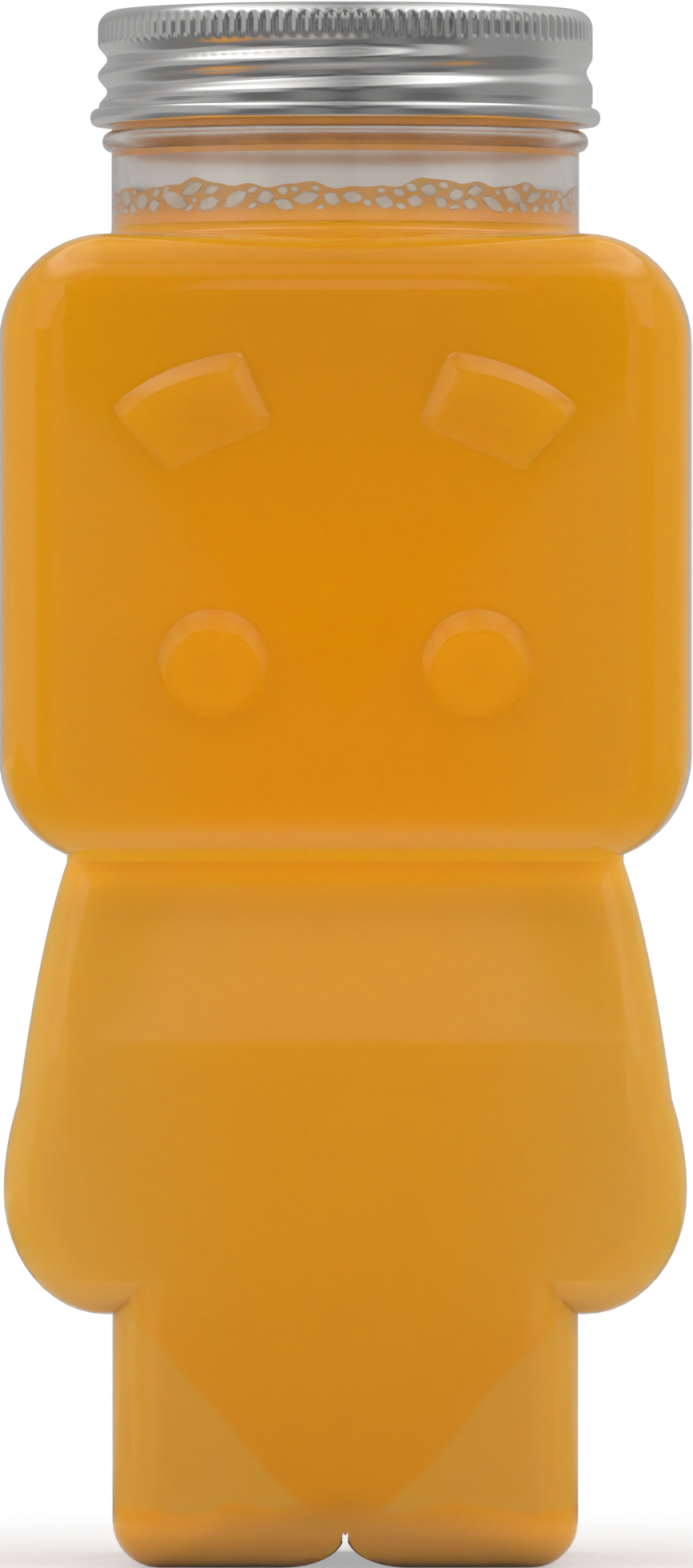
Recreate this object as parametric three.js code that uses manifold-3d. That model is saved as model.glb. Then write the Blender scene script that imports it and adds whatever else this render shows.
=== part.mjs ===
// Robot-shaped drink bottle: a blow-moulded clear shell with a screw neck, filled with orange juice,
// closed by a knurled metal screw cap with a loose sealing liner.
// Millimetres, +Z up, the robot's face looks along -Y, origin on the floor under the neck's axis.
import * as THREE from 'three';
import { mergeGeometries, mergeVertices } from 'three/addons/utils/BufferGeometryUtils.js';
import Module from 'manifold-3d';

const wasm = await Module();
wasm.setup();

// Legs and feet
const LEG_WIDTH = 50; // across both legs
const LEG_HEIGHT = 27.2; // floor to the underside of the hands
const FOOT_CORNER = 5; // round of the outer foot corners
const CLEFT_WIDTH = 11; // notch between the feet, at the floor
const CLEFT_HEIGHT = 3.7;
const CLEFT_TIP = 0.3; // half the width of the notch's blunt tip

// Torso and arms, one flat slab with the arms at its sides
const HAND_WIDTH = 73.4; // across both hands
const HAND_DROP = 13.15; // widest point above the underside of the hands
const HAND_RISE = 9.85; // cuff above the widest point
const ARMPIT_STEP = 0.7; // flat part of a hand's underside beside the leg
const CUFF_INSET = 1.6; // cuff inside the widest point, each side
const SLEEVE_HEIGHT = 25.5; // cuff to the underside of the head
const SLEEVE_INSET = 5.15; // shoulder inside the cuff, each side
const SLEEVE_BEND_INSET = 2.3; // bend point of the sleeve's curve, from the cuff
const SLEEVE_BEND_RISE = 17.4;
const BODY_DEPTH = 50; // front to back
const BODY_EDGE = 4.5; // round of the front and back edges
const CHEST_HEIGHT = 21; // sloping upper chest, down from the head
const CHEST_LEAN = 3; // how far the chest leans in at its top
const BODY_ROOT = 10; // how far the torso runs up into the head

// Head and face
const HEAD_WIDTH = 75;
const HEAD_HEIGHT = 67.4;
const HEAD_DEPTH = 64; // with the raised face
const HEAD_CORNER = 11.5; // round of the corners seen from the front
const HEAD_EDGE = 6; // round of the front and back edges
const RELIEF_HEIGHT = 1.3; // how far the eyes and brows stand out
const RELIEF_SLOPE = 1.1; // width of their sloping sides
const EYE_RADIUS = 5.8;
const EYE_SPACING = 28.3; // centre to centre
const EYE_RISE = 21.4; // centre above the underside of the head
const BROW_RISE = 41.7; // lowest brow corner above the underside of the head
const BROW_TOE = [7.6, 5.1]; // inner lower corner, from the middle and from the lowest corner
const BROW_PEAK = [11.1, 13]; // inner upper corner
const BROW_CROWN = [19.8, 11.7]; // bend point of the upper edge
const BROW_TIP = [25.2, 6.8]; // outer upper corner
const BROW_HEEL = 19.2; // outer lower corner, from the middle

// Shell walls and neck
const WALL = 0.6;
const NECK_RADIUS = 25.35; // outside, at the thread's root
const NECK_WALL = 1.6;
const NECK_HEIGHT = 23; // top of the head to the rim
const NECK_ROOT = 8; // how far the neck runs down into the head
const RIM_ROUND = 0.5;
const BEAD_STAND = 1; // ring under the cap
const BEAD_HEIGHT = 2.2;
const BEAD_GAP = 0.6; // ring below the cap's lower edge

// Screw thread of the neck, right-handed
const THREAD_PITCH = 4.23;
const THREAD_STAND = 0.85;
const THREAD_FOOT = 2; // width at the root
const THREAD_CREST = 0.9;
const THREAD_TURNS = 1.2;
const THREAD_START = 1.75; // crest's upper end below the rim
const THREAD_END_ANGLE = 0.9; // upper end, radians from +X towards +Y

// Cap and liner
const CAP_WALL = 0.4;
const CAP_HEIGHT = 12.5;
const CAP_CORNER = 1.6; // round of the top edge
const CURL_STAND = 0.87; // rolled lower edge outside the skirt
const CURL_HEIGHT = 2.2;
const GROOVE_DEPTH = 0.72; // rolled thread seen from outside
const GROOVE_MOUTH = 2;
const GROOVE_FLOOR = 0.6;
const GROOVE_TURNS = 1.33;
const GROOVE_LEAD = 0.36; // turns that it runs on above the neck thread's upper end
const KNURL_COUNT = 116;
const KNURL_HEIGHT = 2.9;
const KNURL_DROP = 1; // flutes' upper ends below the top
const KNURL_RADIUS = 0.42; // hollow of one flute
const KNURL_DEPTH = 0.2;
const LINER_THICKNESS = 1.2;

// Juice and froth
const FILL_RISE = 1.8; // juice level above the top of the head
const FROTH_HEIGHT = 4;
const FROTH_WIDTH = 5;

// Clearances
const THREAD_CLEARANCE = 0.23; // neck thread's crest to the cap's skirt
const SEAT_CLEARANCE = 0.1; // rim to liner, liner to cap
const LINER_CLEARANCE = 0.3; // liner's edge to the round inside the cap's top
const JUICE_CLEARANCE = 0.3; // juice to the shell

// Fineness of round shapes
const LATHE_SEGMENTS = 48;
const HELIX_STEPS = 44; // per turn
const FADE_TURNS = 0.08; // part of a turn in which a thread's end fades out
const ARC_SEGMENTS = 4;
const EDGE_SEGMENTS = 3;
const RELIEF_SEGMENTS = 2;
const LEAST_ROUND = 0.3; // smallest corner left by an edge round
const SINK = 0.3; // overlap that fuses one shape to the next
const REACH = 2; // how far a cutting shape runs past what it cuts

// Heights worked out from the sizes above
const handZ = LEG_HEIGHT + HAND_DROP;
const cuffZ = handZ + HAND_RISE;
const headZ = cuffZ + SLEEVE_HEIGHT;
const headTop = headZ + HEAD_HEIGHT;
const rimZ = headTop + NECK_HEIGHT;
const linerZ = rimZ + SEAT_CLEARANCE;
const capTop = linerZ + LINER_THICKNESS + SEAT_CLEARANCE + CAP_WALL;
const capBottom = capTop - CAP_HEIGHT;
const beadZ = capBottom - BEAD_GAP - BEAD_HEIGHT / 2;
const fillZ = headTop + FILL_RISE;

// Radii and half sizes worked out from the sizes above
const boreRadius = NECK_RADIUS - NECK_WALL;
const skirtInside = NECK_RADIUS + THREAD_STAND + THREAD_CLEARANCE;
const capRadius = skirtInside + CAP_WALL;
const bodyEdge = Math.min(BODY_EDGE, FOOT_CORNER - LEAST_ROUND);
const headFace = -HEAD_DEPTH / 2 + RELIEF_HEIGHT;

// The cap's thread runs half a pitch below the neck's, so that its ridge bears under the neck's ridge
const threadTopZ = rimZ - THREAD_START - THREAD_CREST / 2;
const grooveTopZ = threadTopZ - THREAD_PITCH / 2;

// A closed solid from one geometry: shared corners merged, faces of no area dropped
function solid(geometry) {
  const bare = geometry.clone();
  bare.deleteAttribute('normal');
  bare.deleteAttribute('uv');
  const merged = mergeVertices(bare);
  const index = merged.index.array;
  const corners = [];
  for (let i = 0; i < index.length; i += 3) {
    const [a, b, c] = index.slice(i, i + 3);
    if (a !== b && b !== c && c !== a) corners.push(a, b, c);
  }
  const vertProperties = new Float32Array(merged.attributes.position.array);
  const triVerts = new Uint32Array(corners);
  return new wasm.Manifold(new wasm.Mesh({ numProp: 3, vertProperties, triVerts }));
}

// A named mesh from a solid
function piece(name, body, material) {
  const { vertProperties, triVerts } = body.getMesh();
  const geometry = new THREE.BufferGeometry();
  geometry.setAttribute('position', new THREE.BufferAttribute(vertProperties, 3));
  geometry.setIndex(new THREE.BufferAttribute(triVerts, 1));
  geometry.computeVertexNormals();
  const mesh = new THREE.Mesh(geometry, material);
  mesh.name = name;
  return mesh;
}

// A front outline (x, z) with rounded front and back edges, from y = front to y = back.
// The inset pulls every face in by that much.
function slab(outline, front, back, edge, inset) {
  const round = edge - Math.min(inset, edge - LEAST_ROUND);
  const geometry = new THREE.ExtrudeGeometry(outline, {
    depth: back - front - 2 * inset - 2 * round,
    bevelThickness: round,
    bevelSize: round,
    bevelOffset: -round - inset,
    bevelSegments: EDGE_SEGMENTS,
    curveSegments: ARC_SEGMENTS,
  });
  geometry.rotateX(Math.PI / 2);
  geometry.translate(0, back - inset - round, 0);
  return solid(geometry);
}

// A front outline (x, z) run straight through from y = front to y = back
function prism(outline, front, back) {
  const depth = back - front;
  const geometry = new THREE.ExtrudeGeometry(outline, {
    depth,
    bevelEnabled: false,
    curveSegments: ARC_SEGMENTS,
  });
  geometry.rotateX(Math.PI / 2);
  geometry.translate(0, back, 0);
  return solid(geometry);
}

// A round solid from a profile of [radius, z] points that starts and ends on the axis, lowest first
function turned(profile) {
  const points = profile.map(([radius, z]) => new THREE.Vector2(radius, z));
  const geometry = new THREE.LatheGeometry(points, LATHE_SEGMENTS);
  geometry.rotateX(Math.PI / 2);
  return solid(geometry);
}

// Points of an elliptical arc in a profile, angles in radians from the radial direction
function profileArc(radius, z, wide, high, from, to) {
  const points = [];
  for (let i = 0; i <= ARC_SEGMENTS; i += 1) {
    const angle = from + ((to - from) * i) / ARC_SEGMENTS;
    points.push([radius + wide * Math.cos(angle), z + high * Math.sin(angle)]);
  }
  return points;
}

// A right-handed helical bar on a cylinder, its upper end at topZ and topAngle.
// A negative stand points inward, and both ends fade into the cylinder.
function helicalBar({ radius, stand, foot, crest, turns, topZ, topAngle }) {
  const side = Math.sign(stand);
  const steps = Math.round(turns * HELIX_STEPS);
  const positions = [];
  const index = [];
  for (let i = 0; i <= steps; i += 1) {
    const turn = (turns * i) / steps;
    const rise = Math.min(1, turn / FADE_TURNS, (turns - turn) / FADE_TURNS);
    const outer = radius - side * SINK / 2 + (stand + side * SINK / 2) * rise;
    const inner = radius - side * SINK;
    const angle = topAngle - 2 * Math.PI * turn;
    const z = topZ - THREAD_PITCH * turn;
    const section = [[inner, -foot / 2], [outer, -crest / 2], [outer, crest / 2], [inner, foot / 2]];
    if (side < 0) section.reverse();
    for (const [r, lift] of section) {
      positions.push(r * Math.cos(angle), r * Math.sin(angle), z + lift);
    }
  }
  for (let i = 0; i < steps; i += 1) {
    for (let k = 0; k < 4; k += 1) {
      const a = 4 * i + k;
      const b = 4 * i + ((k + 1) % 4);
      index.push(a, b, a + 4, b, b + 4, a + 4);
    }
  }
  const last = 4 * steps;
  index.push(2, 1, 0, 3, 2, 0, last, last + 1, last + 2, last, last + 2, last + 3);
  const geometry = new THREE.BufferGeometry();
  geometry.setAttribute('position', new THREE.Float32BufferAttribute(positions, 3));
  geometry.setIndex(index);
  return solid(geometry);
}

// Torso, arms and legs seen from the front
function bodyOutline() {
  const leg = LEG_WIDTH / 2;
  const hand = HAND_WIDTH / 2;
  const palm = leg + ARMPIT_STEP;
  const cuff = hand - CUFF_INSET;
  const shoulder = cuff - SLEEVE_INSET;
  const bendX = cuff - SLEEVE_BEND_INSET;
  const bendZ = cuffZ + SLEEVE_BEND_RISE;
  const bulgeZ = handZ + HAND_RISE / 2;
  const shape = new THREE.Shape();
  shape.moveTo(-leg + FOOT_CORNER, 0);
  shape.lineTo(leg - FOOT_CORNER, 0);
  shape.absarc(leg - FOOT_CORNER, FOOT_CORNER, FOOT_CORNER, -Math.PI / 2, 0, false);
  shape.lineTo(leg, LEG_HEIGHT);
  shape.lineTo(palm, LEG_HEIGHT);
  shape.absellipse(palm, handZ, hand - palm, HAND_DROP, -Math.PI / 2, 0, false);
  shape.quadraticCurveTo(hand, bulgeZ, cuff, cuffZ);
  shape.quadraticCurveTo(bendX, bendZ, shoulder, headZ);
  shape.lineTo(shoulder, headZ + BODY_ROOT);
  shape.lineTo(-shoulder, headZ + BODY_ROOT);
  shape.lineTo(-shoulder, headZ);
  shape.quadraticCurveTo(-bendX, bendZ, -cuff, cuffZ);
  shape.quadraticCurveTo(-hand, bulgeZ, -hand, handZ);
  shape.absellipse(-palm, handZ, hand - palm, HAND_DROP, Math.PI, 1.5 * Math.PI, false);
  shape.lineTo(-leg, LEG_HEIGHT);
  shape.lineTo(-leg, FOOT_CORNER);
  shape.absarc(-leg + FOOT_CORNER, FOOT_CORNER, FOOT_CORNER, Math.PI, 1.5 * Math.PI, false);
  return shape;
}

// The space left of one sloping chest face, as a side outline (y, z) mirrored front to back
function chestKeep(inset) {
  const slope = CHEST_LEAN / CHEST_HEIGHT;
  const half = BODY_DEPTH / 2 - inset;
  const foldZ = headZ - CHEST_HEIGHT;
  const lowZ = foldZ - REACH / slope;
  const highZ = headZ + BODY_ROOT + REACH;
  const high = half - slope * (highZ - foldZ);
  const shape = new THREE.Shape();
  shape.moveTo(-half - REACH, -REACH);
  shape.lineTo(half + REACH, -REACH);
  shape.lineTo(half + REACH, lowZ);
  shape.lineTo(high, highZ);
  shape.lineTo(-high, highZ);
  shape.lineTo(-half - REACH, lowZ);
  const width = HAND_WIDTH + 2 * REACH;
  const geometry = new THREE.ExtrudeGeometry(shape, { depth: width, bevelEnabled: false });
  geometry.rotateX(Math.PI / 2);
  geometry.rotateZ(Math.PI / 2);
  geometry.translate(-width / 2, 0, 0);
  return solid(geometry);
}

// The notch between the feet, widened by the inset
function cleft(inset) {
  const half = CLEFT_WIDTH / 2;
  const tip = CLEFT_TIP + inset;
  const wide = half - tip;
  const high = CLEFT_HEIGHT - inset;
  const shape = new THREE.Shape();
  shape.moveTo(-half, -REACH);
  shape.lineTo(half, -REACH);
  shape.lineTo(half, inset);
  shape.absellipse(half, CLEFT_HEIGHT, wide, high, -Math.PI / 2, -Math.PI, true);
  shape.lineTo(tip, CLEFT_HEIGHT + inset + CLEFT_TIP);
  shape.lineTo(-tip, CLEFT_HEIGHT + inset + CLEFT_TIP);
  shape.lineTo(-tip, CLEFT_HEIGHT);
  shape.absellipse(-half, CLEFT_HEIGHT, wide, high, 0, -Math.PI / 2, true);
  shape.lineTo(-half, -REACH);
  return prism(shape, -BODY_DEPTH / 2 - REACH, BODY_DEPTH / 2 + REACH);
}

function torso(inset) {
  const whole = slab(bodyOutline(), -BODY_DEPTH / 2, BODY_DEPTH / 2, bodyEdge, inset);
  return whole.intersect(chestKeep(inset)).subtract(cleft(inset));
}

function head(inset) {
  const x = HEAD_WIDTH / 2 - HEAD_CORNER;
  const low = headZ + HEAD_CORNER;
  const high = headTop - HEAD_CORNER;
  const shape = new THREE.Shape();
  shape.absarc(x, low, HEAD_CORNER, -Math.PI / 2, 0, false);
  shape.absarc(x, high, HEAD_CORNER, 0, Math.PI / 2, false);
  shape.absarc(-x, high, HEAD_CORNER, Math.PI / 2, Math.PI, false);
  shape.absarc(-x, low, HEAD_CORNER, Math.PI, 1.5 * Math.PI, false);
  return slab(shape, headFace, HEAD_DEPTH / 2, HEAD_EDGE, inset);
}

// One eye or brow: a pad with sloping sides on the front of the head
function pad(outline, inset) {
  const geometry = new THREE.ExtrudeGeometry(outline, {
    depth: HEAD_EDGE,
    bevelThickness: RELIEF_HEIGHT,
    bevelSize: RELIEF_SLOPE,
    bevelOffset: -RELIEF_SLOPE - inset,
    bevelSegments: RELIEF_SEGMENTS,
    curveSegments: ARC_SEGMENTS,
  });
  geometry.rotateX(Math.PI / 2);
  geometry.translate(0, headFace + HEAD_EDGE + inset, 0);
  return solid(geometry);
}

function eyeOutline(side) {
  const x = (side * EYE_SPACING) / 2;
  const z = headZ + EYE_RISE;
  const shape = new THREE.Shape();
  shape.absarc(x, z, EYE_RADIUS, 0, Math.PI, false);
  shape.absarc(x, z, EYE_RADIUS, Math.PI, 2 * Math.PI, false);
  return shape;
}

function browOutline(side) {
  const place = ([x, z]) => [side * x, headZ + BROW_RISE + z];
  const shape = new THREE.Shape();
  shape.moveTo(...place(BROW_TOE));
  shape.lineTo(...place(BROW_PEAK));
  shape.quadraticCurveTo(...place(BROW_CROWN), ...place(BROW_TIP));
  shape.lineTo(...place([BROW_HEEL, 0]));
  shape.lineTo(...place(BROW_TOE));
  return shape;
}

function face(inset) {
  const pads = [];
  for (const side of [-1, 1]) {
    pads.push(pad(eyeOutline(side), inset), pad(browOutline(side), inset));
  }
  return pads.reduce((joined, next) => joined.add(next));
}

// The inside of the shell, shrunk by the gap: filled it is the juice, cut out it leaves the walls
function hollow(gap) {
  const inset = WALL + gap;
  const bore = boreRadius - gap;
  const top = rimZ + REACH;
  const neck = turned([[0, headTop - NECK_ROOT], [bore, headTop - NECK_ROOT], [bore, top], [0, top]]);
  return head(inset).add(torso(inset)).add(face(inset)).add(neck);
}

function neckOutside() {
  const bead = profileArc(NECK_RADIUS, beadZ, BEAD_STAND, BEAD_HEIGHT / 2, -Math.PI / 2, Math.PI / 2);
  return turned([
    [0, headTop - NECK_ROOT],
    [NECK_RADIUS, headTop - NECK_ROOT],
    ...bead,
    [NECK_RADIUS, rimZ - RIM_ROUND],
    [NECK_RADIUS - RIM_ROUND, rimZ],
    [0, rimZ],
  ]);
}

function shell() {
  const thread = helicalBar({
    radius: NECK_RADIUS,
    stand: THREAD_STAND,
    foot: THREAD_FOOT,
    crest: THREAD_CREST,
    turns: THREAD_TURNS,
    topZ: threadTopZ,
    topAngle: THREAD_END_ANGLE,
  });
  const outside = head(0).add(torso(0)).add(face(0)).add(neckOutside()).add(thread);
  return outside.subtract(hollow(0));
}

// Flutes pressed into the cap's upper edge, one cutter for each
function knurlCutter() {
  const flutes = [];
  const z = capTop - KNURL_DROP - KNURL_HEIGHT / 2;
  for (let i = 0; i < KNURL_COUNT; i += 1) {
    const flute = new THREE.CylinderGeometry(KNURL_RADIUS, KNURL_RADIUS, KNURL_HEIGHT, ARC_SEGMENTS);
    flute.rotateX(Math.PI / 2);
    flute.translate(capRadius - KNURL_DEPTH + KNURL_RADIUS, 0, z);
    flute.rotateZ((2 * Math.PI * i) / KNURL_COUNT);
    flutes.push(flute);
  }
  return solid(mergeGeometries(flutes));
}

function capShell() {
  const curlZ = capBottom + CURL_HEIGHT / 2;
  const curlWidth = CURL_STAND + CAP_WALL;
  const curl = profileArc(skirtInside, curlZ, curlWidth, CURL_HEIGHT / 2, -Math.PI / 2, Math.PI / 3);
  const cornerRadius = capRadius - CAP_CORNER;
  const cornerZ = capTop - CAP_CORNER;
  const corner = profileArc(cornerRadius, cornerZ, CAP_CORNER, CAP_CORNER, 0, Math.PI / 2);
  const cup = turned([
    [0, capTop - CAP_WALL],
    [cornerRadius, capTop - CAP_WALL],
    [skirtInside, cornerZ],
    ...curl,
    [capRadius, capBottom + CURL_HEIGHT],
    ...corner,
    [0, capTop],
  ]);
  const rolled = {
    turns: GROOVE_TURNS,
    topZ: grooveTopZ + GROOVE_LEAD * THREAD_PITCH,
    topAngle: THREAD_END_ANGLE + GROOVE_LEAD * 2 * Math.PI,
  };
  const ridge = helicalBar({
    ...rolled,
    radius: skirtInside,
    stand: -GROOVE_DEPTH,
    foot: GROOVE_MOUTH + CAP_WALL,
    crest: GROOVE_FLOOR + CAP_WALL,
  });
  const groove = helicalBar({
    ...rolled,
    radius: capRadius,
    stand: -GROOVE_DEPTH,
    foot: GROOVE_MOUTH,
    crest: GROOVE_FLOOR,
  });
  return cup.add(ridge).subtract(groove).subtract(knurlCutter());
}

function capLiner() {
  const radius = skirtInside - (CAP_CORNER - CAP_WALL) - LINER_CLEARANCE;
  const top = linerZ + LINER_THICKNESS;
  return turned([[0, linerZ], [radius, linerZ], [radius, top], [0, top]]);
}

// Everything below a level, as a block wider than the bottle
function below(z) {
  const size = 2 * Math.max(HEAD_WIDTH, HAND_WIDTH, HEAD_DEPTH, z);
  const geometry = new THREE.BoxGeometry(size, size, size);
  geometry.translate(0, 0, z - size / 2);
  return solid(geometry);
}

// Ring of bubbles that floats on the juice along the neck's wall
function froth() {
  const outer = boreRadius - JUICE_CLEARANCE;
  const inner = outer - FROTH_WIDTH;
  const low = fillZ + JUICE_CLEARANCE;
  const high = low + FROTH_HEIGHT;
  const disc = turned([[0, low], [outer, low], [outer, high], [0, high]]);
  const hole = turned([[0, low - REACH], [inner, low - REACH], [inner, high + REACH], [0, high + REACH]]);
  return disc.subtract(hole);
}

const clear = new THREE.MeshStandardMaterial({
  color: 0xf1ece2,
  roughness: 0.08,
  metalness: 0,
  transparent: true,
  opacity: 0.35,
});
const orange = new THREE.MeshStandardMaterial({ color: 0xdc8c08, roughness: 0.35, metalness: 0 });
const foam = new THREE.MeshStandardMaterial({ color: 0xd8a868, roughness: 0.4, metalness: 0 });
const metal = new THREE.MeshStandardMaterial({ color: 0xc9c8c5, roughness: 0.3, metalness: 1 });
const white = new THREE.MeshStandardMaterial({ color: 0xecebe6, roughness: 0.7, metalness: 0 });

const bottle = new THREE.Group();
bottle.add(piece('bottle_shell', shell(), clear));
bottle.add(piece('juice_fill', hollow(JUICE_CLEARANCE).intersect(below(fillZ)), orange));
bottle.add(piece('juice_froth', froth(), foam));
const cap = new THREE.Group();
cap.add(piece('cap_liner', capLiner(), white));
cap.add(piece('cap_shell', capShell(), metal));
bottle.add(cap);

export default bottle;
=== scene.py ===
# %% [markdown]
# # A robot-shaped juice bottle
# A clear plastic bottle in the shape of a small robot stands on two feet, full of orange juice, under a
# knurled metal screw cap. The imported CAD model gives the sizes, the bodies and the screw motion. This lesson
# rebuilds what the eye sees of it: soft blow-moulded walls, cloudy juice, froth in the neck, drawn metal.
# Everything is in metres in the CAD frame: +Z is up and the face looks along -Y.

import math
import random

import bmesh
import bpy
from mathutils import Matrix, Vector


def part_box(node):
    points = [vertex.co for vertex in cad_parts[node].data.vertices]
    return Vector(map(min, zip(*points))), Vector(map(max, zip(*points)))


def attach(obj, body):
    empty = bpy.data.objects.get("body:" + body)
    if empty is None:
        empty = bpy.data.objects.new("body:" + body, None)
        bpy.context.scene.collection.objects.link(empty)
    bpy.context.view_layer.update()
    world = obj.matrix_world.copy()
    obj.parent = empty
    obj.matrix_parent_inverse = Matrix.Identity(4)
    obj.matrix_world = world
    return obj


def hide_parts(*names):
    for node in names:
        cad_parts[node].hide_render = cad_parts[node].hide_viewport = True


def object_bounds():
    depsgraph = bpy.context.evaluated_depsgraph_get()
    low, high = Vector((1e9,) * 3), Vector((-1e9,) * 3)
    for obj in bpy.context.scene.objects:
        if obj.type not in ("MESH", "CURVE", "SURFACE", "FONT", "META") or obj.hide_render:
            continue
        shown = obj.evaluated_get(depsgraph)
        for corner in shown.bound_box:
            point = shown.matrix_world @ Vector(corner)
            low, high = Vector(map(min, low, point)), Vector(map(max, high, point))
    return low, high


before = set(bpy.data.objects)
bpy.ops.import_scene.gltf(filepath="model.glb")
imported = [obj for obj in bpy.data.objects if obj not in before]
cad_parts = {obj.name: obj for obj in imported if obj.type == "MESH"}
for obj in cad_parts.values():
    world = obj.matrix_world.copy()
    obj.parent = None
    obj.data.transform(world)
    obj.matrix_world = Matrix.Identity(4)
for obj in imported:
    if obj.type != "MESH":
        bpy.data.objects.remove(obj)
cad_low, cad_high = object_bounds()
MM = 0.001
print("CAD box, mm:", [round(side / MM, 1) for side in cad_high - cad_low])

# %% [markdown]
# ## Heights from the frame
# The shell, the cap and the juice already have their place in the CAD model. Reading their boxes keeps the
# lesson true to them: the cap tells where the neck ends, and the juice tells the level of the fill.
# Sizes that no box gives, such as the width of the legs, are written here as real sizes.

# %% Boxes and levels
shell_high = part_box("bottle_shell")[1]
juice_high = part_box("juice_fill")[1]
froth_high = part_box("juice_froth")[1]
cap_low, cap_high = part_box("cap_shell")
liner_low, liner_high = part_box("cap_liner")
NECK_HEIGHT = 23 * MM
HEAD_HEIGHT = 67.4 * MM
rim_z = shell_high.z
head_top = rim_z - NECK_HEIGHT
head_z = head_top - HEAD_HEIGHT
print("rim", rim_z, "head from", head_z, "to", head_top)

# %% [markdown]
# ## A piece from a bmesh
# Each shape grows in a bmesh and becomes an object once. Shapes are then joined or cut with a Boolean
# modifier that is applied at once, so that the next step sees plain mesh data. A Boolean can leave points a
# few micrometres apart, and weld joins them, so that the finished piece stays closed.

# %% Object and Boolean helpers
TINY = 1e-6
WELD = 3e-6


def as_object(bm, name):
    """Turns a bmesh into a linked object at the origin."""
    bmesh.ops.recalc_face_normals(bm, faces=bm.faces[:])
    mesh = bpy.data.meshes.new(name)
    bm.to_mesh(mesh)
    bm.free()
    piece = bpy.data.objects.new(name, mesh)
    bpy.context.scene.collection.objects.link(piece)
    return piece


def open_edges(piece):
    """Counts the edges that don't join exactly two faces."""
    bm = bmesh.new()
    bm.from_mesh(piece.data)
    count = sum(not edge.is_manifold for edge in bm.edges)
    bm.free()
    return count


def combine(piece, tool, operation):
    """Joins, cuts or trims piece with tool, which is used up."""
    cut = piece.modifiers.new("combine", "BOOLEAN")
    cut.operation = operation
    cut.solver = "MANIFOLD"
    cut.object = tool
    bpy.context.view_layer.update()
    shaped = piece.evaluated_get(bpy.context.evaluated_depsgraph_get())
    result = bpy.data.meshes.new_from_object(shaped)
    old = piece.data
    piece.modifiers.clear()
    piece.data = result
    bpy.data.meshes.remove(old)
    bpy.data.meshes.remove(tool.data)
    return piece


def weld(piece):
    """Joins the points that a Boolean leaves a few micrometres apart."""
    bm = bmesh.new()
    bm.from_mesh(piece.data)
    bmesh.ops.remove_doubles(bm, verts=bm.verts[:], dist=WELD)
    bm.to_mesh(piece.data)
    bm.free()


print("points nearer than", WELD / MM, "mm are welded")

# %% [markdown]
# ## Rounded slabs
# Head and torso are the same kind of shape: a front outline drawn back to its depth, with rounded front and
# back edges. The outline is filled and extruded, and the two rims are bevelled. An inset pulls the outline
# in, which gives the inside of the wall from the same outline.

# %% Outline curves
def arc(centre_x, centre_z, wide, high, start, stop, steps):
    """Points of an elliptical arc, angles in degrees from +X towards +Z."""
    points = []
    for step in range(steps + 1):
        angle = math.radians(start + (stop - start) * step / steps)
        points.append((centre_x + wide * math.cos(angle), centre_z + high * math.sin(angle)))
    return points


def bend(start, control, stop, steps):
    """Points of a quadratic curve after its start."""
    points = []
    for step in range(1, steps + 1):
        t = step / steps
        weights = ((1 - t) ** 2, 2 * t * (1 - t), t**2)
        ends = (start, control, stop)
        points.append(tuple(sum(w * p[axis] for w, p in zip(weights, ends)) for axis in (0, 1)))
    return points


print("a quarter circle in two steps:", arc(0, 0, 1, 1, 0, 90, 2))

# %% Slab helpers
ROUND_STEPS = 8


def filled(outline, y, inset):
    """A bmesh with one face inside the outline, pulled in by the inset."""
    bm = bmesh.new()
    face = bm.faces.new([bm.verts.new((x, y, z)) for x, z in outline])
    bm.normal_update()
    if inset > 0:
        ring = bmesh.ops.inset_region(
            bm, faces=[face], thickness=inset, use_boundary=True, use_even_offset=True,
        )
        bmesh.ops.delete(bm, geom=ring["faces"], context="FACES")
    return bm


def draw(bm, distance):
    """Extrudes every face along Y and closes the shape."""
    drawn = bmesh.ops.extrude_face_region(bm, geom=bm.faces[:], use_keep_orig=True)
    moved = [part for part in drawn["geom"] if isinstance(part, bmesh.types.BMVert)]
    bmesh.ops.translate(bm, verts=moved, vec=(0, distance, 0))
    bmesh.ops.recalc_face_normals(bm, faces=bm.faces[:])


def rim_edges(bm, y):
    """The edges that lie in the plane at y."""
    return [edge for edge in bm.edges if all(abs(v.co.y - y) < TINY for v in edge.verts)]


def slab(outline, front, back, edge, inset):
    """An outline drawn from front to back, with rounded rims."""
    bm = filled(outline, front + inset, inset)
    draw(bm, back - front - 2 * inset)
    for y in (front + inset, back - inset):
        bmesh.ops.bevel(
            bm, geom=rim_edges(bm, y), offset=edge - inset, affect="EDGES",
            segments=ROUND_STEPS, profile=0.5, material=-1,
        )
    return bm


def slice_through(bm, axis, low, high, step):
    """Cuts the faces into strips along one axis, so that they can swell."""
    normal = Vector([float(number == axis) for number in range(3)])
    count = math.ceil((high - low) / step)
    for number in range(1, count):
        place = normal * (low + (high - low) * number / count)
        everything = bm.verts[:] + bm.edges[:] + bm.faces[:]
        bmesh.ops.bisect_plane(bm, geom=everything, dist=TINY, plane_co=place, plane_no=normal)


print("steps in a rounded edge", ROUND_STEPS)

# %% [markdown]
# ## The head
# The head is a block with round corners. On the real bottle its faces aren't flat: blown plastic swells a
# little, which is why the photographed face is dark in the middle and lighter towards its sides. The faces
# are sliced into strips and pushed in towards their edges, so that the middle keeps its full depth.

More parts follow.
